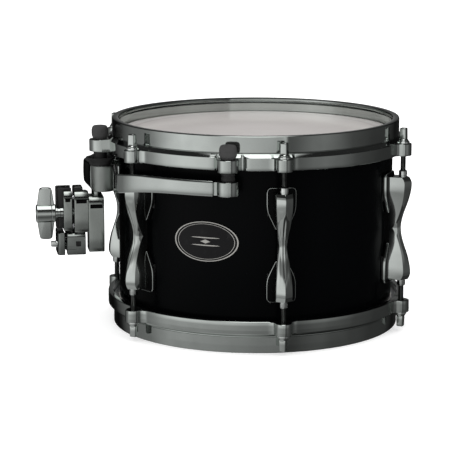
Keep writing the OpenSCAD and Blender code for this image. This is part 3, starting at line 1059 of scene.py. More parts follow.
@dataclass
class Hoop:
    """One cast hoop: a collar over a thick band, with ears for the rods and the suspension."""

    side: Side
    band_r: float = 137.7
    band_low: float = 162.5
    band_high: float = 174.0
    collar_r: float = 132.7
    lip_r: float = 126.7
    wall_r: float = 128.9
    pocket_r: float = 132.4
    ledge_r: float = 136.9
    floor_r: float = 134.6
    rod_ear_r: float = 7.5
    suspension_ear_r: float = 10.0
    rod_hole_r: float = 3.3
    bush_hole_r: float = 5.0
    fillet: float = 2.6
    roll: float = 3.0
    step: float = 1.5

    def ear_edge(self, circle: float, boss: float, tail: Callable[[float, float], Outline]) -> Outline:
        """Half of an ear's outline as (angle from its middle, radius).

        Args:
            circle: radius of the circle that its hole lies on.
            boss: the ear's own radius.
            tail: gives the outline from the ear's flank to the band.

        Returns:
            Points from the ear's middle outwards.
        """
        flank = math.degrees(math.asin(boss / circle))
        points: Outline = []
        for step in range(10):
            away = flank * sind(step * 10)
            reach = math.sqrt(max(0.0, boss**2 - (circle * sind(away)) ** 2))
            points.append((away, circle * cosd(away) + reach))
        return points + tail(flank, circle * cosd(flank))

    def into_band(self, flank: float, radius: float) -> Outline:
        """Runs a hollow fillet from a rod ear's flank to the band.

        Args:
            flank: the flank's angle from the ear's middle.
            radius: where the flank ends.

        Returns:
            The fillet as (angle, radius).
        """
        drop = radius - self.band_r
        turns = [9 * step for step in range(1, 11)]
        return [(flank + self.fillet * (1 - cosd(turn)), radius - drop * sind(turn)) for turn in turns]

    def past_pocket(self, flank: float, radius: float) -> Outline:
        """Runs from a suspension ear's flank into the pocket beside it, and round up to the band.

        Args:
            flank: the flank's angle from the ear's middle.
            radius: where the flank ends, which the pocket undercuts.

        Returns:
            The pocket as (angle, radius).
        """
        rise = self.band_r - self.floor_r
        points = [(flank + 0.03, self.floor_r + 1.2), (flank + 0.12, self.floor_r + 0.3)]
        points += [(flank + 0.35, self.floor_r), (flank + 0.9, self.floor_r)]
        for step in range(1, 13):
            turn = 90 * step / 12
            reach = flank + 0.95 + self.roll * (1 - cosd(turn))
            points.append((reach, self.floor_r + rise * sind(turn)))
        return points

    def outline(self) -> Outline:
        """Follows the band's outer edge all the way round.

        Returns:
            The edge as (angle, radius), in growing order of angle.
        """
        rod_edge = self.ear_edge(ROD_CIRCLE, self.rod_ear_r, self.into_band)
        edges = {lug_angle(number): rod_edge for number in LUG_NUMBERS}
        if self.side is Side.BATTER:
            sprung_edge = self.ear_edge(EAR_CIRCLE, self.suspension_ear_r, self.past_pocket)
            edges.update({angle % 360: sprung_edge for angle in ear_angles()})
        points: Outline = []
        for middle, edge in edges.items():
            points += [(middle + away, radius) for away, radius in edge]
            points += [(middle - away, radius) for away, radius in edge if away > 0]
        for count in range(round(360 / self.step)):
            angle = count * self.step
            aways = [abs((angle - middle + 180) % 360 - 180) for middle in edges]
            gaps = [away - edge[-1][0] for away, edge in zip(aways, edges.values())]
            if min(gaps) > 0.4:
                points.append((angle, self.band_r))
        return sorted(((angle % 360, radius) for angle, radius in points))

    def section(self, outer: float) -> Outline:
        """Draws the hoop's section where its band reaches a radius.

        Args:
            outer: the radius.

        Returns:
            The section as (radius, height), the same number of points everywhere.
        """
        foot = min(self.ledge_r, outer - 0.9)
        foot_z = 176.9 - (foot - 133.1) * 0.74
        in_band = outer < self.band_r + 0.05
        top = min(self.band_high if in_band else EAR_TOP, foot_z)
        low = self.band_low if in_band else EAR_BOTTOM
        rim, lip, collar, pocket, wall = DRUM_H, self.lip_r, self.collar_r, self.pocket_r, self.wall_r
        return [
            (lip, rim - 3.2), (lip, rim - 0.7), (lip + 0.2, rim - 0.2), (lip + 0.7, rim),
            (collar - 1.0, rim), (collar - 0.45, rim - 0.15), (collar - 0.1, rim - 0.5),
            (collar, rim - 1.1), (collar, 184.5), (collar, 177.9), (collar - 0.35, 177.5),
            (collar - 0.4, 177.05), (collar + 0.1, 176.85), (collar + 0.5, 176.8),
            (foot, foot_z), (outer - 0.8, top), (outer - 0.35, top - 0.1), (outer - 0.1, top - 0.35),
            (outer, top - 0.8), (outer, 170.2), (outer, 166.4), (outer, low + 0.8),
            (outer - 0.1, low + 0.35), (outer - 0.35, low + 0.1), (outer - 0.8, low),
            (pocket + 0.5, low), (pocket, low + 0.5), (pocket, 174.8),
            (wall, 174.8), (wall, 186.4), (wall - 0.4, 187.0),
        ]

    @staticmethod
    def drills(radius: float, places: list[Matrix]) -> Workpiece:
        """Drills through the band, to cut with."""
        drill = Workpiece.turned("drill", [(0, 160), (radius, 160), (radius, 182), (0, 182)], 32)
        return drill.spread(places)

    def build(self) -> None:
        """Skins the hoop, drills its ears and places it."""
        stations: list[Station] = []
        for angle, outer in self.outline():
            across, ahead = sind(angle), -cosd(angle)
            stations.append([(r * across, r * ahead, z) for r, z in self.section(outer)])
        hoop = Workpiece.skin(f"{self.side.value}_hoop", stations, wrapped=True)
        hoop.cut(self.drills(self.rod_hole_r, rod_places()))
        if self.side is Side.BATTER:
            hoop.cut(self.drills(self.bush_hole_r, ear_places()))
        hoop.moved(flipped(self.side))
        hoop.place(f"{self.side.value}_hoop", "drum", "hoop_plating", HOOP_NICKEL, 26.0)


@dataclass
class TensionRods:
    """The six rods of one side with their washers."""

    side: Side
    shaft_r: float = 2.2
    crest_r: float = 2.5
    pitch: float = 1.06
    tip: float = 121.0
    thread_top: float = 168.0
    shank_r: float = 2.62
    flange_r: float = 4.6
    flange_z: float = 175.85
    drive: float = 6.3
    drive_top: float = 187.8
    clocking: float = -24.0

    def shaft(self) -> Outline:
        """Draws the rod's section: a rolled thread, a shank and a domed flange.

        Returns:
            The section as (radius, height).
        """
        turns = thread(self.tip + 0.6, self.thread_top, self.pitch, self.shaft_r, self.crest_r)
        shank, flange, rim = self.shank_r, self.flange_z, self.flange_r
        return [
            (0, self.tip), (1.9, self.tip), (self.shaft_r, self.tip + 0.6), *turns,
            (shank, turns[-1][1] + 0.6), (shank, flange), (rim - 0.25, flange), (rim, flange + 0.25),
            (rim, flange + 0.9), (4.4, flange + 1.25), (3.95, flange + 1.6), (3.6, flange + 2.1),
            (3.45, flange + 2.9), (0, flange + 2.9),
        ]

    def square(self) -> Workpiece:
        """Makes the square drive over the flange, drawn in a little towards its top.

        Returns:
            The drive.
        """
        half = self.drive / 2
        corners = [(-half, -half, self.flange_z + 1.4), (half, half, self.drive_top)]
        drive = Workpiece.block("drive", corners, 0.0)
        with drive.edit(faces=lambda face: face.normal.z > 0.9):
            bpy.ops.transform.resize(value=(0.93, 0.93, 1))
        return drive.bevel(0.95, 4).coated(ROD_NICKEL)

    def build(self) -> None:
        """Makes one rod and one washer, and puts a copy at each lug."""
        rod = Workpiece.turned("rod", self.shaft(), 24)
        rod.coated(ROD_NICKEL).coated(THREAD, lambda face: face.center.z < EAR_BOTTOM)
        rod.joined(self.square())
        side = self.side.value
        for number, place in zip(LUG_NUMBERS, rod_places()):
            name = f"{side}_rod_{number}"
            clocked = Matrix.Rotation(math.radians(self.clocking - lug_angle(number)), 4, "Z")
            each = rod.copy(name).moved(flipped(self.side) @ place @ clocked)
            each.place(name, name, "rod_plating", ROD_NICKEL)
        bpy.data.objects.remove(rod.obj)
        low, high = EAR_TOP, EAR_TOP + 2
        ring = softened([(3.0, low, 0.2), (5.5, low, 0.3), (5.5, high, 0.6), (3.0, high, 0.3)], 3)
        washer = Workpiece.turned("washer", ring, 40).spread(rod_places()).moved(flipped(self.side))
        washer.place(f"{side}_rod_washers", "drum", "small_plating", SMALL_NICKEL)


@dataclass
class Lugs:
    """Six slim cast lugs, pinched at the waist, with swivel nuts at both ends."""

    half: float = 47.4
    bulge_z: float = 41.0
    bulge_r: float = 150.5
    end_r: float = 148.0
    waist_r: float = 140.7
    half_w: float = 7.25
    waist_half_w: float = 4.7
    lens_z: float = 33.6
    ridge: float = 4.9
    waist_corner: float = 134.3
    flute: float = 0.27
    foot_half_w: float = 13.0
    foot_from: float = 14.0
    foot_past: float = 3.4
    seat_r: float = 127.75
    foot_r: float = 131.0
    rows: int = 66

    def station(self, z: float) -> Station:
        """The lug's section at a height from the drum's middle, with X outwards.

        Args:
            z: the height.

        Returns:
            The section: a ridge towards both ends, flat and fluted towards the waist.
        """
        away = abs(z)
        share = min(1.0, away / self.bulge_z)
        front = self.waist_r + (self.bulge_r - self.waist_r) * (1 - cosd(180 * share)) / 2
        spread = self.bulge_r - self.ridge - self.waist_corner
        corner_r = self.waist_corner + spread * sind(90 * share) ** 0.85
        if away > self.bulge_z:
            beyond = (away - self.bulge_z) / (self.half - self.bulge_z)
            past = (self.bulge_r - self.end_r) * beyond**2
            front -= past
            corner_r -= past
        half = self.waist_half_w + (self.half_w - self.waist_half_w) * sind(90 * share) ** 2
        lens = sind(90 * min(1.0, max(0.0, 1.5 - 1.5 * away / (self.lens_z + 1)))) ** 1.5
        back_r = 128.2 + 2.6 * lens
        back = half + 0.6 - 1.3 * lens
        face: Station = []
        for step in range(-16, 17):
            across = step / 16
            drop = abs(across) ** (1 + 2.2 * lens)
            ripple = self.flute * lens * (1 - across**2) * (1 + math.cos(4 * math.pi * across))
            face.append((front - (front - corner_r) * drop - ripple, half * across, z))
        return [(back_r, -back, z), *face, (back_r, back, z)]

    def foot(self, up: float) -> Workpiece:
        """A foot pad, bent to the shell.

        Args:
            up: 1 for the top foot, -1 for the bottom one.

        Returns:
            The pad.
        """
        half, top, low = self.foot_half_w, self.half + self.foot_past, self.foot_from
        narrow = self.waist_half_w + 0.4
        corners = [
            (-narrow, low, 0), (narrow, low, 0), (half - 2, low + 12, 6), (half, low + 18, 6),
            (half, top, 4.5), (-half, top, 4.5), (-half, low + 18, 6), (2 - half, low + 12, 6),
        ]
        outline = [(x, up * y) for x, y in softened(corners, 6)]
        pad = Workpiece.plate("foot", outline, self.seat_r, self.foot_r)
        pad.moved(ACROSS_U)
        pad.close_up()
        for vertex in pad.obj.data.vertices:
            vertex.co.x = math.sqrt(vertex.co.x**2 - vertex.co.y**2)
        pad.bevel(0.5, 3, 40.0).coated(LUG_NICKEL)
        # Painted shade: the pad's broad outer face is painted near black, though it is plated like its
        # edges.
        return pad.coated(PAINTED_SHADE_BLACK, lambda face: face.normal.x > 0.9 and face.area > 20)

    def build(self) -> None:
        """Makes one lug and puts a copy at each angle."""
        heights = [self.half * (2 * row / self.rows - 1) for row in range(self.rows + 1)]
        body = Workpiece.skin("lug", [self.station(z) for z in heights])
        body.bevel(0.85, 4, 30.0).coated(LUG_NICKEL)
        body.joined(self.foot(1), self.foot(-1))
        for number in LUG_NUMBERS:
            each = body.copy(f"lug_{number}")
            each.moved(at_angle(lug_angle(number)) @ Matrix.Translation((0, 0, MID_Z)))
            each.place(f"lug_{number}", "drum", "lug_plating", LUG_NICKEL, 24.0)
        bpy.data.objects.remove(body.obj)
        self.build_nuts()
        dress("lug_gaskets", PAD_RUBBER)
        dress("lug_screws", ZINC)
        dress("lug_screw_washers", ZINC)

    def build_nuts(self) -> None:
        """Turns the collar of a swivel nut and puts one at each end of each lug."""
        low, mouth, top = 23.4, self.half - 0.4, 53.2
        profile = [
            (2.75, low), (4.05, low), (4.05, mouth), (3.55, mouth + 0.5), (3.55, mouth + 1.6),
            (3.8, mouth + 1.9), (3.8, top - 0.9), (3.6, top - 0.35), (3.1, top), (2.75, top),
        ]
        nut = Workpiece.turned("nut", profile, 32)
        places: list[Matrix] = []
        for place in rod_places():
            for up in (1, -1):
                places.append(place @ Matrix.Translation((0, 0, MID_Z)) @ Matrix.Diagonal((1, 1, up, 1)))
        nut.spread(places)
        nut.place("swivel_nuts", "drum", "small_plating", SMALL_NICKEL)


# ---- suspension --------------------------------------------------------------------------------


@dataclass
class Suspension:
    """The arm under the batter hoop, its rubber bushes and its three knobs."""

    arm_r: float = 150.0
    bow: float = 4.5
    hub_u: float = 142.5
    hub_r: float = 10.6
    straight_r: float = 131.0
    straight_lean: float = 0.0914
    bend: float = 26.5
    blend: float = 3.0
    thick: float = 5.0
    bar_end: float = 66.0
    bar_steps: int = 198
    boss_r: float = 10.0
    boss_low: float = 142.2
    boss_high: float = 155.0
    hub_low: float = 125.7
    hub_high: float = 149.7
    stud_r: float = 3.0
    bush_r: float = 6.1
    knob_r: float = 7.75
    knob_top: float = 186.3
    top_edge: Outline = field(default_factory=lambda: [
        (-1, 149.4), (14, 149.5), (50, 150.5), (72, 152.5), (90, 155.7), (200, 155.7)])
    low_edge: Outline = field(default_factory=lambda: [
        (-1, 126.1), (14, 127.8), (72, 135.5), (86, 138.5), (100, 141), (118, 142.2), (200, 142.2)])

    def height(self, table: Outline, across: float) -> float:
        """An edge of the bar, eased over a stretch of it."""
        offsets = (-8, -4, 0, 4, 8)
        return sum(between(abs(across) + offset, table) for offset in offsets) / len(offsets)

    def bar_radius(self, angle: float) -> float:
        """How far out the bar's middle lies, at an angle from the casting.

        Args:
            angle: positive towards the front, where the bar runs straight to its bend.

        Returns:
            The radius.
        """
        bowed = self.arm_r + self.bow * math.exp(-(((abs(angle) - 30) / 11) ** 2))
        if angle < 0:
            return bowed + 8 * math.exp(-(((angle + 13) / 8) ** 2))
        straight = self.straight_r / max(0.1, cosd(angle) - self.straight_lean * sind(angle))
        nearness = max(0.0, self.blend - abs(straight - bowed))
        return min(straight, bowed) - nearness**2 / (4 * self.blend)

    def bar_station(self, angle: float) -> Station:
        """Draws the bar's section.

        Args:
            angle: degrees from the casting in the middle.

        Returns:
            The section, with X outwards at the casting.
        """
        radius = self.bar_radius(angle)
        across = radius * sind(angle)
        high = self.height(self.top_edge, across)
        low = self.height(self.low_edge, across)
        inner, outer = radius - self.thick / 2, radius + self.thick / 2
        outer -= 1.6 * math.exp(-(((angle - self.bend) / 2.0) ** 2))
        middle = low + (high - low) * 0.45
        corners = [
            (inner, low, 0.8), (outer, low, 1.2), (outer + 0.45, middle, 9),
            (outer, high, 1.8), (inner, high, 0.8),
        ]
        return [(r * cosd(angle), r * sind(angle), z) for r, z in softened(corners, 4)]

    def shrunk(self, ring: Station, share: float) -> Station:
        """A section drawn in towards its own middle, down to a share of its size."""
        middle = sum((Vector(point) for point in ring), Vector()) / len(ring)
        return [tuple(middle.lerp(Vector(point), share)) for point in ring]

    def build_arm(self) -> None:
        """Skins the bar and joins the casting, the end bosses and their webs."""
        count = self.bar_steps
        angles = [self.bar_end * (2 * step / count - 1) for step in range(count + 1)]
        stations = [self.bar_station(angle) for angle in angles]
        rounding = [(0.28, 0.72), (0.16, 0.9)]
        first = [self.shrunk(self.bar_station(-self.bar_end - past), size) for past, size in rounding]
        last = [self.shrunk(self.bar_station(self.bar_end + past), size) for past, size in rounding]
        bar = Workpiece.skin("bar", first + stations + last[::-1]).coated(ARM_NICKEL)
        parts = [self.hub().coated(ARM_SATIN)]
        for side in (-1, 1):
            turn = Matrix.Rotation(math.radians(side * EAR_SPREAD), 4, "Z")
            parts.append(self.end_boss().moved(turn).coated(ARM_NICKEL))
            web = [(142.5, 0), (144, -side * 24), (149.4, -side * 24), (148.5, 0)]
            parts.append(Workpiece.plate("web", web, 142.9, 154.3).moved(turn).coated(ARM_NICKEL))
        bar.joined(*parts).moved(AT_MOUNT)
        bar.place("suspension_arm", "drum", "arm_plating", ARM_NICKEL)

    def hub(self) -> Workpiece:
        """Turns the round casting in the arm's middle.

        Returns:
            The casting.
        """
        full, low, high = self.hub_r, self.hub_low, self.hub_high
        ring = softened([(0, low, 0), (full, low, 0.9), (full, high, 0.9), (0, high, 0)])
        return Workpiece.turned("hub", ring, 64).moved(Matrix.Translation((self.hub_u, 0, 0)))

    def end_boss(self) -> Workpiece:
        """Turns an end boss with a recess under it for the stud's head.

        Returns:
            The boss.
        """
        bore, full, low, high = self.stud_r, self.boss_r, self.boss_low, self.boss_high
        corners = [
            (bore, low + 5, 0), (5.4, low + 5, 0), (5.4, low, 0.3),
            (full, low, 0.9), (full, high, 0.9), (bore, high, 0.3),
        ]
        boss = Workpiece.turned("boss", softened(corners), 64)
        return boss.moved(Matrix.Translation((EAR_CIRCLE, 0, 0)))

    def build_bushes(self) -> None:
        """Turns the three rubber bushes; the middle one is a cup."""
        bore, sleeve, full = self.stud_r, 4.9, self.bush_r
        under = (full, EAR_BOTTOM - 0.05, 0.4)
        tail = [under, (sleeve, EAR_BOTTOM, 0), (sleeve, EAR_TOP, 0.2), (bore, EAR_TOP, 0)]
        low = self.boss_high + 0.1
        plain = [
            (bore, low, 0), (full, low, 0.5), (full, 157.4, 0.6), (5.5, 159, 0.6), (full, 160.6, 0.6), *tail,
        ]
        low = self.hub_high + 0.1
        cup = [
            (bore, low, 0), (9.6, low, 0.6), (10.4, 152.5, 1), (13.4, 157, 0.4), (12.3, 157.3, 0.4),
            (8, 153.5, 1), (full, 154.3, 0.8), *tail,
        ]
        rear, middle, front = ear_places()
        bush = Workpiece.turned("bush", softened(plain), 48).spread([rear, front])
        bush.joined(Workpiece.turned("cup", softened(cup), 64).moved(middle))
        bush.place("isolators", "drum", "isolator_rubber", BUSH_RUBBER)

    def build_knobs(self) -> None:
        """Turns the rubber-covered knobs, with a shallow dish in the top and a moulding line."""
        bore, low, high, full = self.stud_r, EAR_TOP + 0.1, self.knob_top, self.knob_r
        corners = [
            (0, high - 0.5, 0), (0, high - 2, 0), (bore, high - 2, 0), (bore, low, 0), (6.0, low, 0.5),
            (full - 0.15, low + 3, 1.2), (full, low + 6.2, 0.5), (full - 0.2, low + 6.5, 0),
            (full, low + 6.8, 0.5), (full - 0.1, high - 3.2, 1.6), (6.6, high - 0.7, 0.9),
            (4.9, high, 0.8), (3.6, high - 0.5, 0.8),
        ]
        knob = Workpiece.turned("knob", softened(corners), 56).spread(ear_places())
        knob.place("suspension_knobs", "drum", "knob_rubber", KNOB_RUBBER)

    def build(self) -> None:
        """Builds the arm, bushes and knobs, and dresses the studs."""
        self.build_arm()
        self.build_bushes()
        self.build_knobs()
        dress("suspension_studs", ZINC)


# ---- rod clamp ---------------------------------------------------------------------------------


def jaw_side(front: float, back: float, low: float, high: float, shoulder: float) -> Outline:
    """The side of a casting whose top slopes back from a shoulder.

    Args:
        front: its front face, towards the player.
        back: its back face.
        low: its bottom.
        high: its top.
        shoulder: height at which the front starts to slope.

    Returns:
        The outline as (v, z).
    """
    brow = front - (high - shoulder) * 0.6
    corners = [
        (back, low, 1.2), (front - 1.2, low, 1.6), (front, low + 8, 6), (front, shoulder, 2.5),
        (brow, high - 0.9, 1.2), (brow - 1.5, high, 1.0), (back, high, 1.4),
    ]
    return softened(corners, 5)


@dataclass
class RodClamp:
    """The bracket under the arm: post, two jaws with moulded saddles, and the wing bolt."""

    bolt_u: float = 148.5
    rod_u: float = 174.5
    rod_v: float = -8.0
    rod_r: float = 6.35
    wing_v: float = 4.0
    wing_z: float = 106.6
    wing_reach: float = 24.0
    wing_half: float = 2.5
    wing_hub: tuple[float, float] = (186.7, 204.4)
    post_u: tuple[float, float] = (142.3, 156.5)
    jaw_u: tuple[float, float] = (156.3, 169.6)
    moving_u: tuple[float, float] = (171.5, 179.4)
    saddle_back: float = -17.5
    recess_r: float = 5.4
    neck_r: float = 4.6

    @staticmethod
    def slab(name: str, outline: Outline, reach: tuple[float, float], edge: float) -> Workpiece:
        """Extrudes a (v, z) outline along u and rounds its edges.

        Args:
            name: what the piece is called.
            outline: its side.
            reach: its ends along u.
            edge: width of the rounding.

        Returns:
            The slab.
        """
        return Workpiece.plate(name, outline, *reach).moved(ACROSS_U).close_up().bevel(edge)

    @staticmethod
    def pocket(casting: Workpiece, low: Corner, high: Corner) -> Workpiece:
        """Sinks a pocket into the front of a casting, and paints its faces near black as painted shade.

        Args:
            casting: the piece to cut.
            low: the pocket's left, back and bottom.
            high: its right, the casting's front and its top.

        Returns:
            The casting.
        """
        deep, front = low[1], high[1]
        mouth = [low, (high[0], front + 2, high[2])]
        casting.cut(Workpiece.block("pocket", mouth, 0.6, 3)).coated(BRACKET_NICKEL)

        least = (low[0] - 0.05, deep - 0.1, low[2] - 0.05)
        most = (high[0] + 0.05, front - 0.1, high[2] + 0.05)

        def inside(face: bpy.types.MeshPolygon) -> bool:
            """Whether a face lies in the pocket."""
            return all(a < spot < b for a, spot, b in zip(least, face.center, most))

        # Painted shade: the faces inside the pocket get the near-black finish, though the casting is plated.
        return casting.coated(PAINTED_SHADE_BLACK, inside)

    def rod_hole(self) -> Workpiece:
        """Makes what the mounting rod takes out of the saddles and the lock.

        Returns:
            A cylinder to cut with.
        """
        bore = [(0, 60), (self.rod_r, 60), (self.rod_r, 140), (0, 140)]
        hole = Workpiece.turned("rod_hole", bore, 64)
        return hole.moved(Matrix.Translation((self.rod_u, self.rod_v, 0)))

    def build_body(self) -> None:
        """The post, the fixed jaw with its back plate, and the neck under the arm."""
        to_bolt = Matrix.Translation((self.bolt_u, 0, 0))
        full, neck = self.recess_r, self.neck_r
        post = self.slab("post", jaw_side(11, -11, 69.9, 121.5, 116.5), self.post_u, 1.4)
        self.pocket(post, (143.6, 9.4, 111.0), (155.2, 11, 114.8))
        jaw = self.slab("jaw", jaw_side(10, -3, 88.3, 126.0, 120.3), self.jaw_u, 1.3)
        self.pocket(jaw, (158.2, 8.4, 115.8), (168.0, 10, 119.2))
        jaw.cut(Workpiece.block("key_slot", [(160.9, -6, 86), (167.1, 7.1, 92)], 0.0))
        back_corners = [(self.jaw_u[0], self.saddle_back, 92), (160.5, -1, 124)]
        back = Workpiece.block("back", back_corners, 0.8).coated(BRACKET_NICKEL)
        collar = [(0, 121.0), (full, 121.0), (full, 121.9), (neck, 122.6), (neck, 126), (0, 126)]
        stem = Workpiece.turned("neck", collar, 40).moved(to_bolt).coated(BRACKET_NICKEL)
        recess = [(0, 60), (full, 60), (full, 76.9), (0, 76.9)]
        post.cut(Workpiece.turned("recess", recess, 40).moved(to_bolt))
        post.joined(jaw, back, stem).moved(AT_MOUNT)
        post.place("bracket_body", "drum", "bracket_plating", BRACKET_NICKEL)
        dress("bracket_bolt", ZINC)
        dress("jaw_guide_pins", ZINC)

    def build_jaws(self) -> None:
        """The moving jaw and both saddles."""
        back, near, far = self.saddle_back, self.moving_u[0], 185.5
        jaw = self.slab("moving_jaw", jaw_side(10, -1, 90.2, 126.7, 121.6), self.moving_u, 1.5)
        self.pocket(jaw, (173.2, 8.4, 117.4), (178.0, 10, 120.6)).moved(AT_MOUNT)
        jaw.place("clamp_jaw", "clamp_jaw", "bracket_plating", BRACKET_NICKEL)
        corners = [(160.6, back, 89), (self.jaw_u[1], -3.1, 129)]
        fixed = Workpiece.block("fixed_saddle", corners, 1.6, 4).cut(self.rod_hole()).moved(AT_MOUNT)
        fixed.place("fixed_saddle", "drum", "saddle_plastic", SADDLE_NYLON)
        plan = softened([(near, back, 1), (far, back, 4), (far, -1.1, 3.5), (near, -1.1, 0.6)], 5)
        moving = Workpiece.plate("jaw_saddle", plan, 91, 128.6).bevel(1.4, 4)
        moving.cut(self.rod_hole()).moved(AT_MOUNT)
        moving.place("jaw_saddle", "clamp_jaw", "saddle_plastic", SADDLE_NYLON)

    def wing_outline(self) -> Outline:
        """Draws both wings as they look along their thickness.

        Returns:
            The outline as (u, z) from the bolt's axis.
        """
        root, waist, tip, reach = 8.4, 7.2, 5.2, self.wing_reach
        half: list[Corner] = [
            (-root, 4, 1), (-waist, 12, 4), (-tip - 0.9, reach - 4, 3), (-tip, reach, 4),
            (tip, reach, 4), (tip + 0.9, reach - 4, 3), (waist, 12, 4), (root, 4, 1),
        ]
        lower: list[Corner] = [(-u, -z, cut) for u, z, cut in half]
        return softened(half + lower, 5)

    def build_wing_bolt(self) -> None:
        """The bolt's threaded shaft, its stepped neck and hub, and the two wings."""
        near, far = self.wing_hub
        shaft = [
            (0, 158.5), (3.4, 158.5), (3.75, 159.3), *thread(159.3, 178.0, 1.25, 3.72, 4.0, 0.48),
            (4.0, 179.0), (4.0, 179.6), (5.0, 179.8), (5.0, 182.2), (4.5, 182.6), (4.5, 184.6),
            (5.0, 185.0), (5.0, near), (7.6, near), (8.4, near + 0.8), (8.4, near + 3.2),
            (8.1, near + 3.6), (8.4, near + 4.0), (8.4, far - 0.9), (7.5, far), (5.2, far),
            (4.9, far - 0.4), (0, far - 0.4),
        ]
        bolt = Workpiece.turned("wing_bolt", shaft, 56).moved(ALONG_U)
        wings = Workpiece.plate("wings", self.wing_outline(), -self.wing_half, self.wing_half)
        wings.moved(ACROSS_V).close_up().bevel(1.1, 4)
        wings.moved(Matrix.Translation(((near + far) / 2, 0, 0)))
        bolt.joined(wings)
        bolt.moved(AT_MOUNT @ Matrix.Translation((0, self.wing_v, self.wing_z)))
        bolt.place("wing_bolt", "wing_bolt", "wing_plating", WING_NICKEL)

    def build(self) -> None:
        """Builds the clamp from the drum outwards."""
        self.build_body()
        self.build_jaws()
        self.build_wing_bolt()


@dataclass
class MemoryLock:
    """The split collar under the clamp: block, gate and key bolt."""

    clamp: RodClamp
    low: float = 67.6
    high: float = 88.0
    block_u: tuple[float, float] = (159.5, 176.5)
    bolt_v: float = 5.0
    bolt_z: float = 78.0

    def build(self) -> None:
        """Builds the block with its key and notch, the gate and the key bolt."""
        low, high = self.low, self.high
        side = [(-21, low, 2), (9, low, 1.2), (9, high - 3.4, 0.8), (6.4, high - 0.2, 1.0), (-21, high, 2.5)]
        block = self.clamp.slab("lock_block", softened(side), self.block_u, 0.9)
        notch = Workpiece.block("notch", [(164, 2.6, 75.6), (168.6, 12, 80.4)], 0.0)
        slot = Workpiece.block("slot", [(168, 7.4, 72.4), (178, 12, 76.2)], 0.0)
        block.cut(self.clamp.rod_hole(), notch, slot)
        key = Workpiece.block("key", [(161, -2.9, 87), (167, 7, 91.8)], 0.5)
        block.joined(key).moved(AT_MOUNT)
        block.place("memory_lock_block", "drum", "lock_plating", LOCK_NICKEL)
        plan = softened([(178.5, -21, 1), (185.5, -21, 4.5), (185.5, 9, 5), (178.5, 9, 1)], 6)
        gate = Workpiece.plate("lock_gate", plan, low, high + 0.3).bevel(1.3, 4)
        gate.cut(self.clamp.rod_hole()).moved(AT_MOUNT)
        gate.place("memory_lock_gate", "memory_lock_gate", "lock_plating", LOCK_NICKEL)
        self.build_bolt()
        dress("memory_lock_pin", ZINC)
        dress("memory_lock_nut", PAD_RUBBER)

    def build_bolt(self) -> None:
        """The key bolt: thread, round flange and a square head with rounded corners."""
        shaft = [
            (0, 162.5), (1.6, 162.5), (1.85, 163.0), *thread(163.0, 184.0, 0.7, 1.8, 2.0),
            (1.95, 184.8), (1.95, 185.6), (2.9, 185.6), (3.2, 185.8), (3.2, 186.6), (2.7, 187.0), (0, 187.0),
        ]
        bolt = Workpiece.turned("lock_bolt", shaft, 32).moved(ALONG_U)
        head = Workpiece.block("lock_head", [(186.4, -2.5, -2.5), (191.2, 2.5, 2.5)], 0.7, 4)
        bolt.joined(head)
        bolt.moved(AT_MOUNT @ Matrix.Translation((0, self.bolt_v, self.bolt_z)))
        bolt.place("memory_lock_bolt", "memory_lock_bolt", "small_plating", SMALL_NICKEL)


# ---- studio ------------------------------------------------------------------------------------


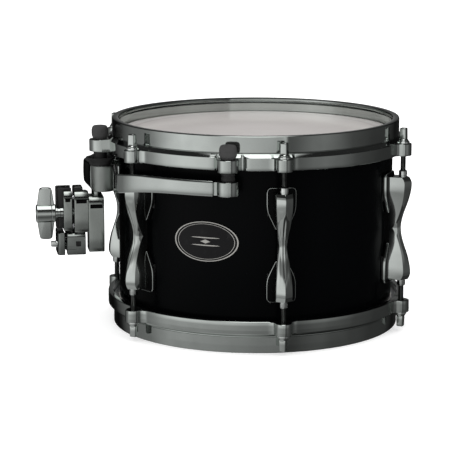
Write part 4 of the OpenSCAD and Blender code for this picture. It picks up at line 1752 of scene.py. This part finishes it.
@dataclass
class Studio:
    """A pale floor, an overcast of soft light, a wall that gloss reflects, and the camera."""

    floor_size: float = 40.0
    floor_glow: float = 0.35
    sky: float = 1.35
    grey: float = 0.03
    overhead: float = 2.6
    ground_level: float = 0.45
    wall_r: float = 1.2
    wall_low: float = -0.6
    wall_high: float = 0.75
    wall_sides: int = 180
    glow: Outline = field(default_factory=lambda: [
        (-180, 0.35), (-170, 0.12), (-160, 0.01), (-140, 0.005), (-132, 0.02), (-120, 0.14), (-108, 0.22),
        (-88, 0.26), (-78, 0.5), (-68, 0.85), (-56, 1.04), (-45, 0.98), (-30, 0.86), (-8, 0.74), (6, 0.62),
        (20, 0.6), (22, 0.95), (23.5, 0.12), (32, 0.16), (42, 0.24), (52, 0.27), (64, 0.2), (78, 0.1),
        (100, 0.06), (124, 0.05), (140, 0.01), (160, 0.02), (170, 0.12), (180, 0.35)])

    def floor(self) -> None:
        """The floor, which lights nothing by its gloss."""
        bpy.ops.object.select_all(action="DESELECT")
        bpy.ops.mesh.primitive_plane_add(size=self.floor_size)
        ground = bpy.context.object
        ground.name = "floor"
        made = bpy.data.materials.new("pale_floor")
        made.use_nodes = True
        graph = Graph(made.node_tree)
        tone = graph.noise(0.6, 2.0)
        colour = graph.mix(tone * 0.3, (0.88, 0.88, 0.88), (0.9, 0.9, 0.9))
        own = {"Emission Color": (1.0, 1.0, 1.0, 1.0), "Emission Strength": self.floor_glow}
        graph.surface({"Base Color": colour, "Roughness": 0.9, "Specular IOR Level": 0.0, **own})
        ground.data.materials.append(made)
        ground.visible_glossy = False

    def world(self) -> None:
        """Soft white all round for matt surfaces, and a dim room with a bright ceiling for gloss."""
        made = bpy.data.worlds.new("soft_room")
        bpy.context.scene.world = made
        made.use_nodes = True
        graph = Graph(made.node_tree)
        direction = graph.node("ShaderNodeTexCoord", out=0)
        split = graph.node("ShaderNodeSeparateXYZ", {}, {0: direction})
        aside = Wire(graph, split.socket.node.outputs[0])
        up = Wire(graph, split.socket.node.outputs[2])
        off_middle = graph.node("ShaderNodeMath", {"operation": "ABSOLUTE"}, {0: aside})
        strip = up.band(0.78, 0.93) * off_middle.band(0.12, 0.36, 1.0, 0.0)
        ground = up.band(-0.62, -0.45, 1.0, 0.0) * aside.band(-0.1, 0.3, 1.0, 0.02)
        seen = self.grey + strip * self.overhead + ground * self.ground_level
        glossy = graph.node("ShaderNodeLightPath", out=3)
        level = glossy * seen + (1 - glossy) * self.sky
        light = graph.node("ShaderNodeBackground", {}, {0: (1, 1, 1, 1), 1: level})
        graph.node("ShaderNodeOutputWorld", {}, {0: light})
        made.cycles.sampling_method = "NONE"

    def reflector(self) -> None:
        """A tall wall round the drum that only gloss sees: bright at the front left, dark behind."""
        bpy.ops.object.select_all(action="DESELECT")
        size = {"vertices": self.wall_sides, "radius": self.wall_r, "depth": 1}
        bpy.ops.mesh.primitive_cylinder_add(end_fill_type="NOTHING", **size)
        wall = bpy.context.object
        wall.name = "reflector"
        for vertex in wall.data.vertices:
            vertex.co.z = self.wall_low if vertex.co.z < 0 else self.wall_high
        made = bpy.data.materials.new("reflector_glow")
        made.use_nodes = True
        graph = Graph(made.node_tree)
        x, y, z = graph.axes()
        turn = graph.node("ShaderNodeMath", {"operation": "ARCTAN2"}, {0: x, 1: 0.0 - y})
        share = turn * (1 / math.tau) + 0.5
        stops = [(angle / 360 + 0.5, (level, level, level)) for angle, level in self.glow]
        ramp = graph.node("ShaderNodeValToRGB", {"stops": stops}, {0: share})
        away = graph.node("ShaderNodeMath", {"operation": "ABSOLUTE"}, {0: turn})
        dimmed = away.band(1.0, 1.6, 0.42, 0.95)
        level = (dimmed + (1 - dimmed) * z.band(-0.32, -0.06)) * z.band(0.28, 0.5, 1.0, 0.35)
        glow = graph.node("ShaderNodeEmission", {}, {0: ramp, 1: level})
        graph.node("ShaderNodeOutputMaterial", {}, {0: glow})
        wall.data.materials.append(made)
        wall.visible_camera = False
        wall.visible_diffuse = False
        wall.visible_shadow = False
        wall.visible_transmission = False

    def camera(self) -> None:
        """The camera, a little above the drum and well back from it."""
        bpy.ops.object.camera_add(location=(0, -1.759, 0.435))
        camera = bpy.context.object
        camera.name = "camera"
        camera.rotation_euler = (math.radians(90 - 11.14), 0, math.radians(0.92))
        camera.data.lens = 153.28
        camera.data.sensor_width = 36
        bpy.context.scene.camera = camera

    def build(self) -> None:
        """Sets up the room and the camera."""
        bpy.context.scene.view_settings.view_transform = "Standard"
        self.camera()
        self.world()
        self.floor()
        self.reflector()


def main() -> None:
    """Builds the studio and every sub-assembly, from the shell outwards."""
    logging.basicConfig(level=logging.INFO, format="%(name)s: %(message)s")
    Studio().build()
    Shell().build()
    for side in Side:
        Head(side).build()
        Hoop(side).build()
        TensionRods(side).build()
    Lugs().build()
    Suspension().build()
    clamp = RodClamp()
    clamp.build()
    MemoryLock(clamp).build()


if __name__ == "__main__":
    main()
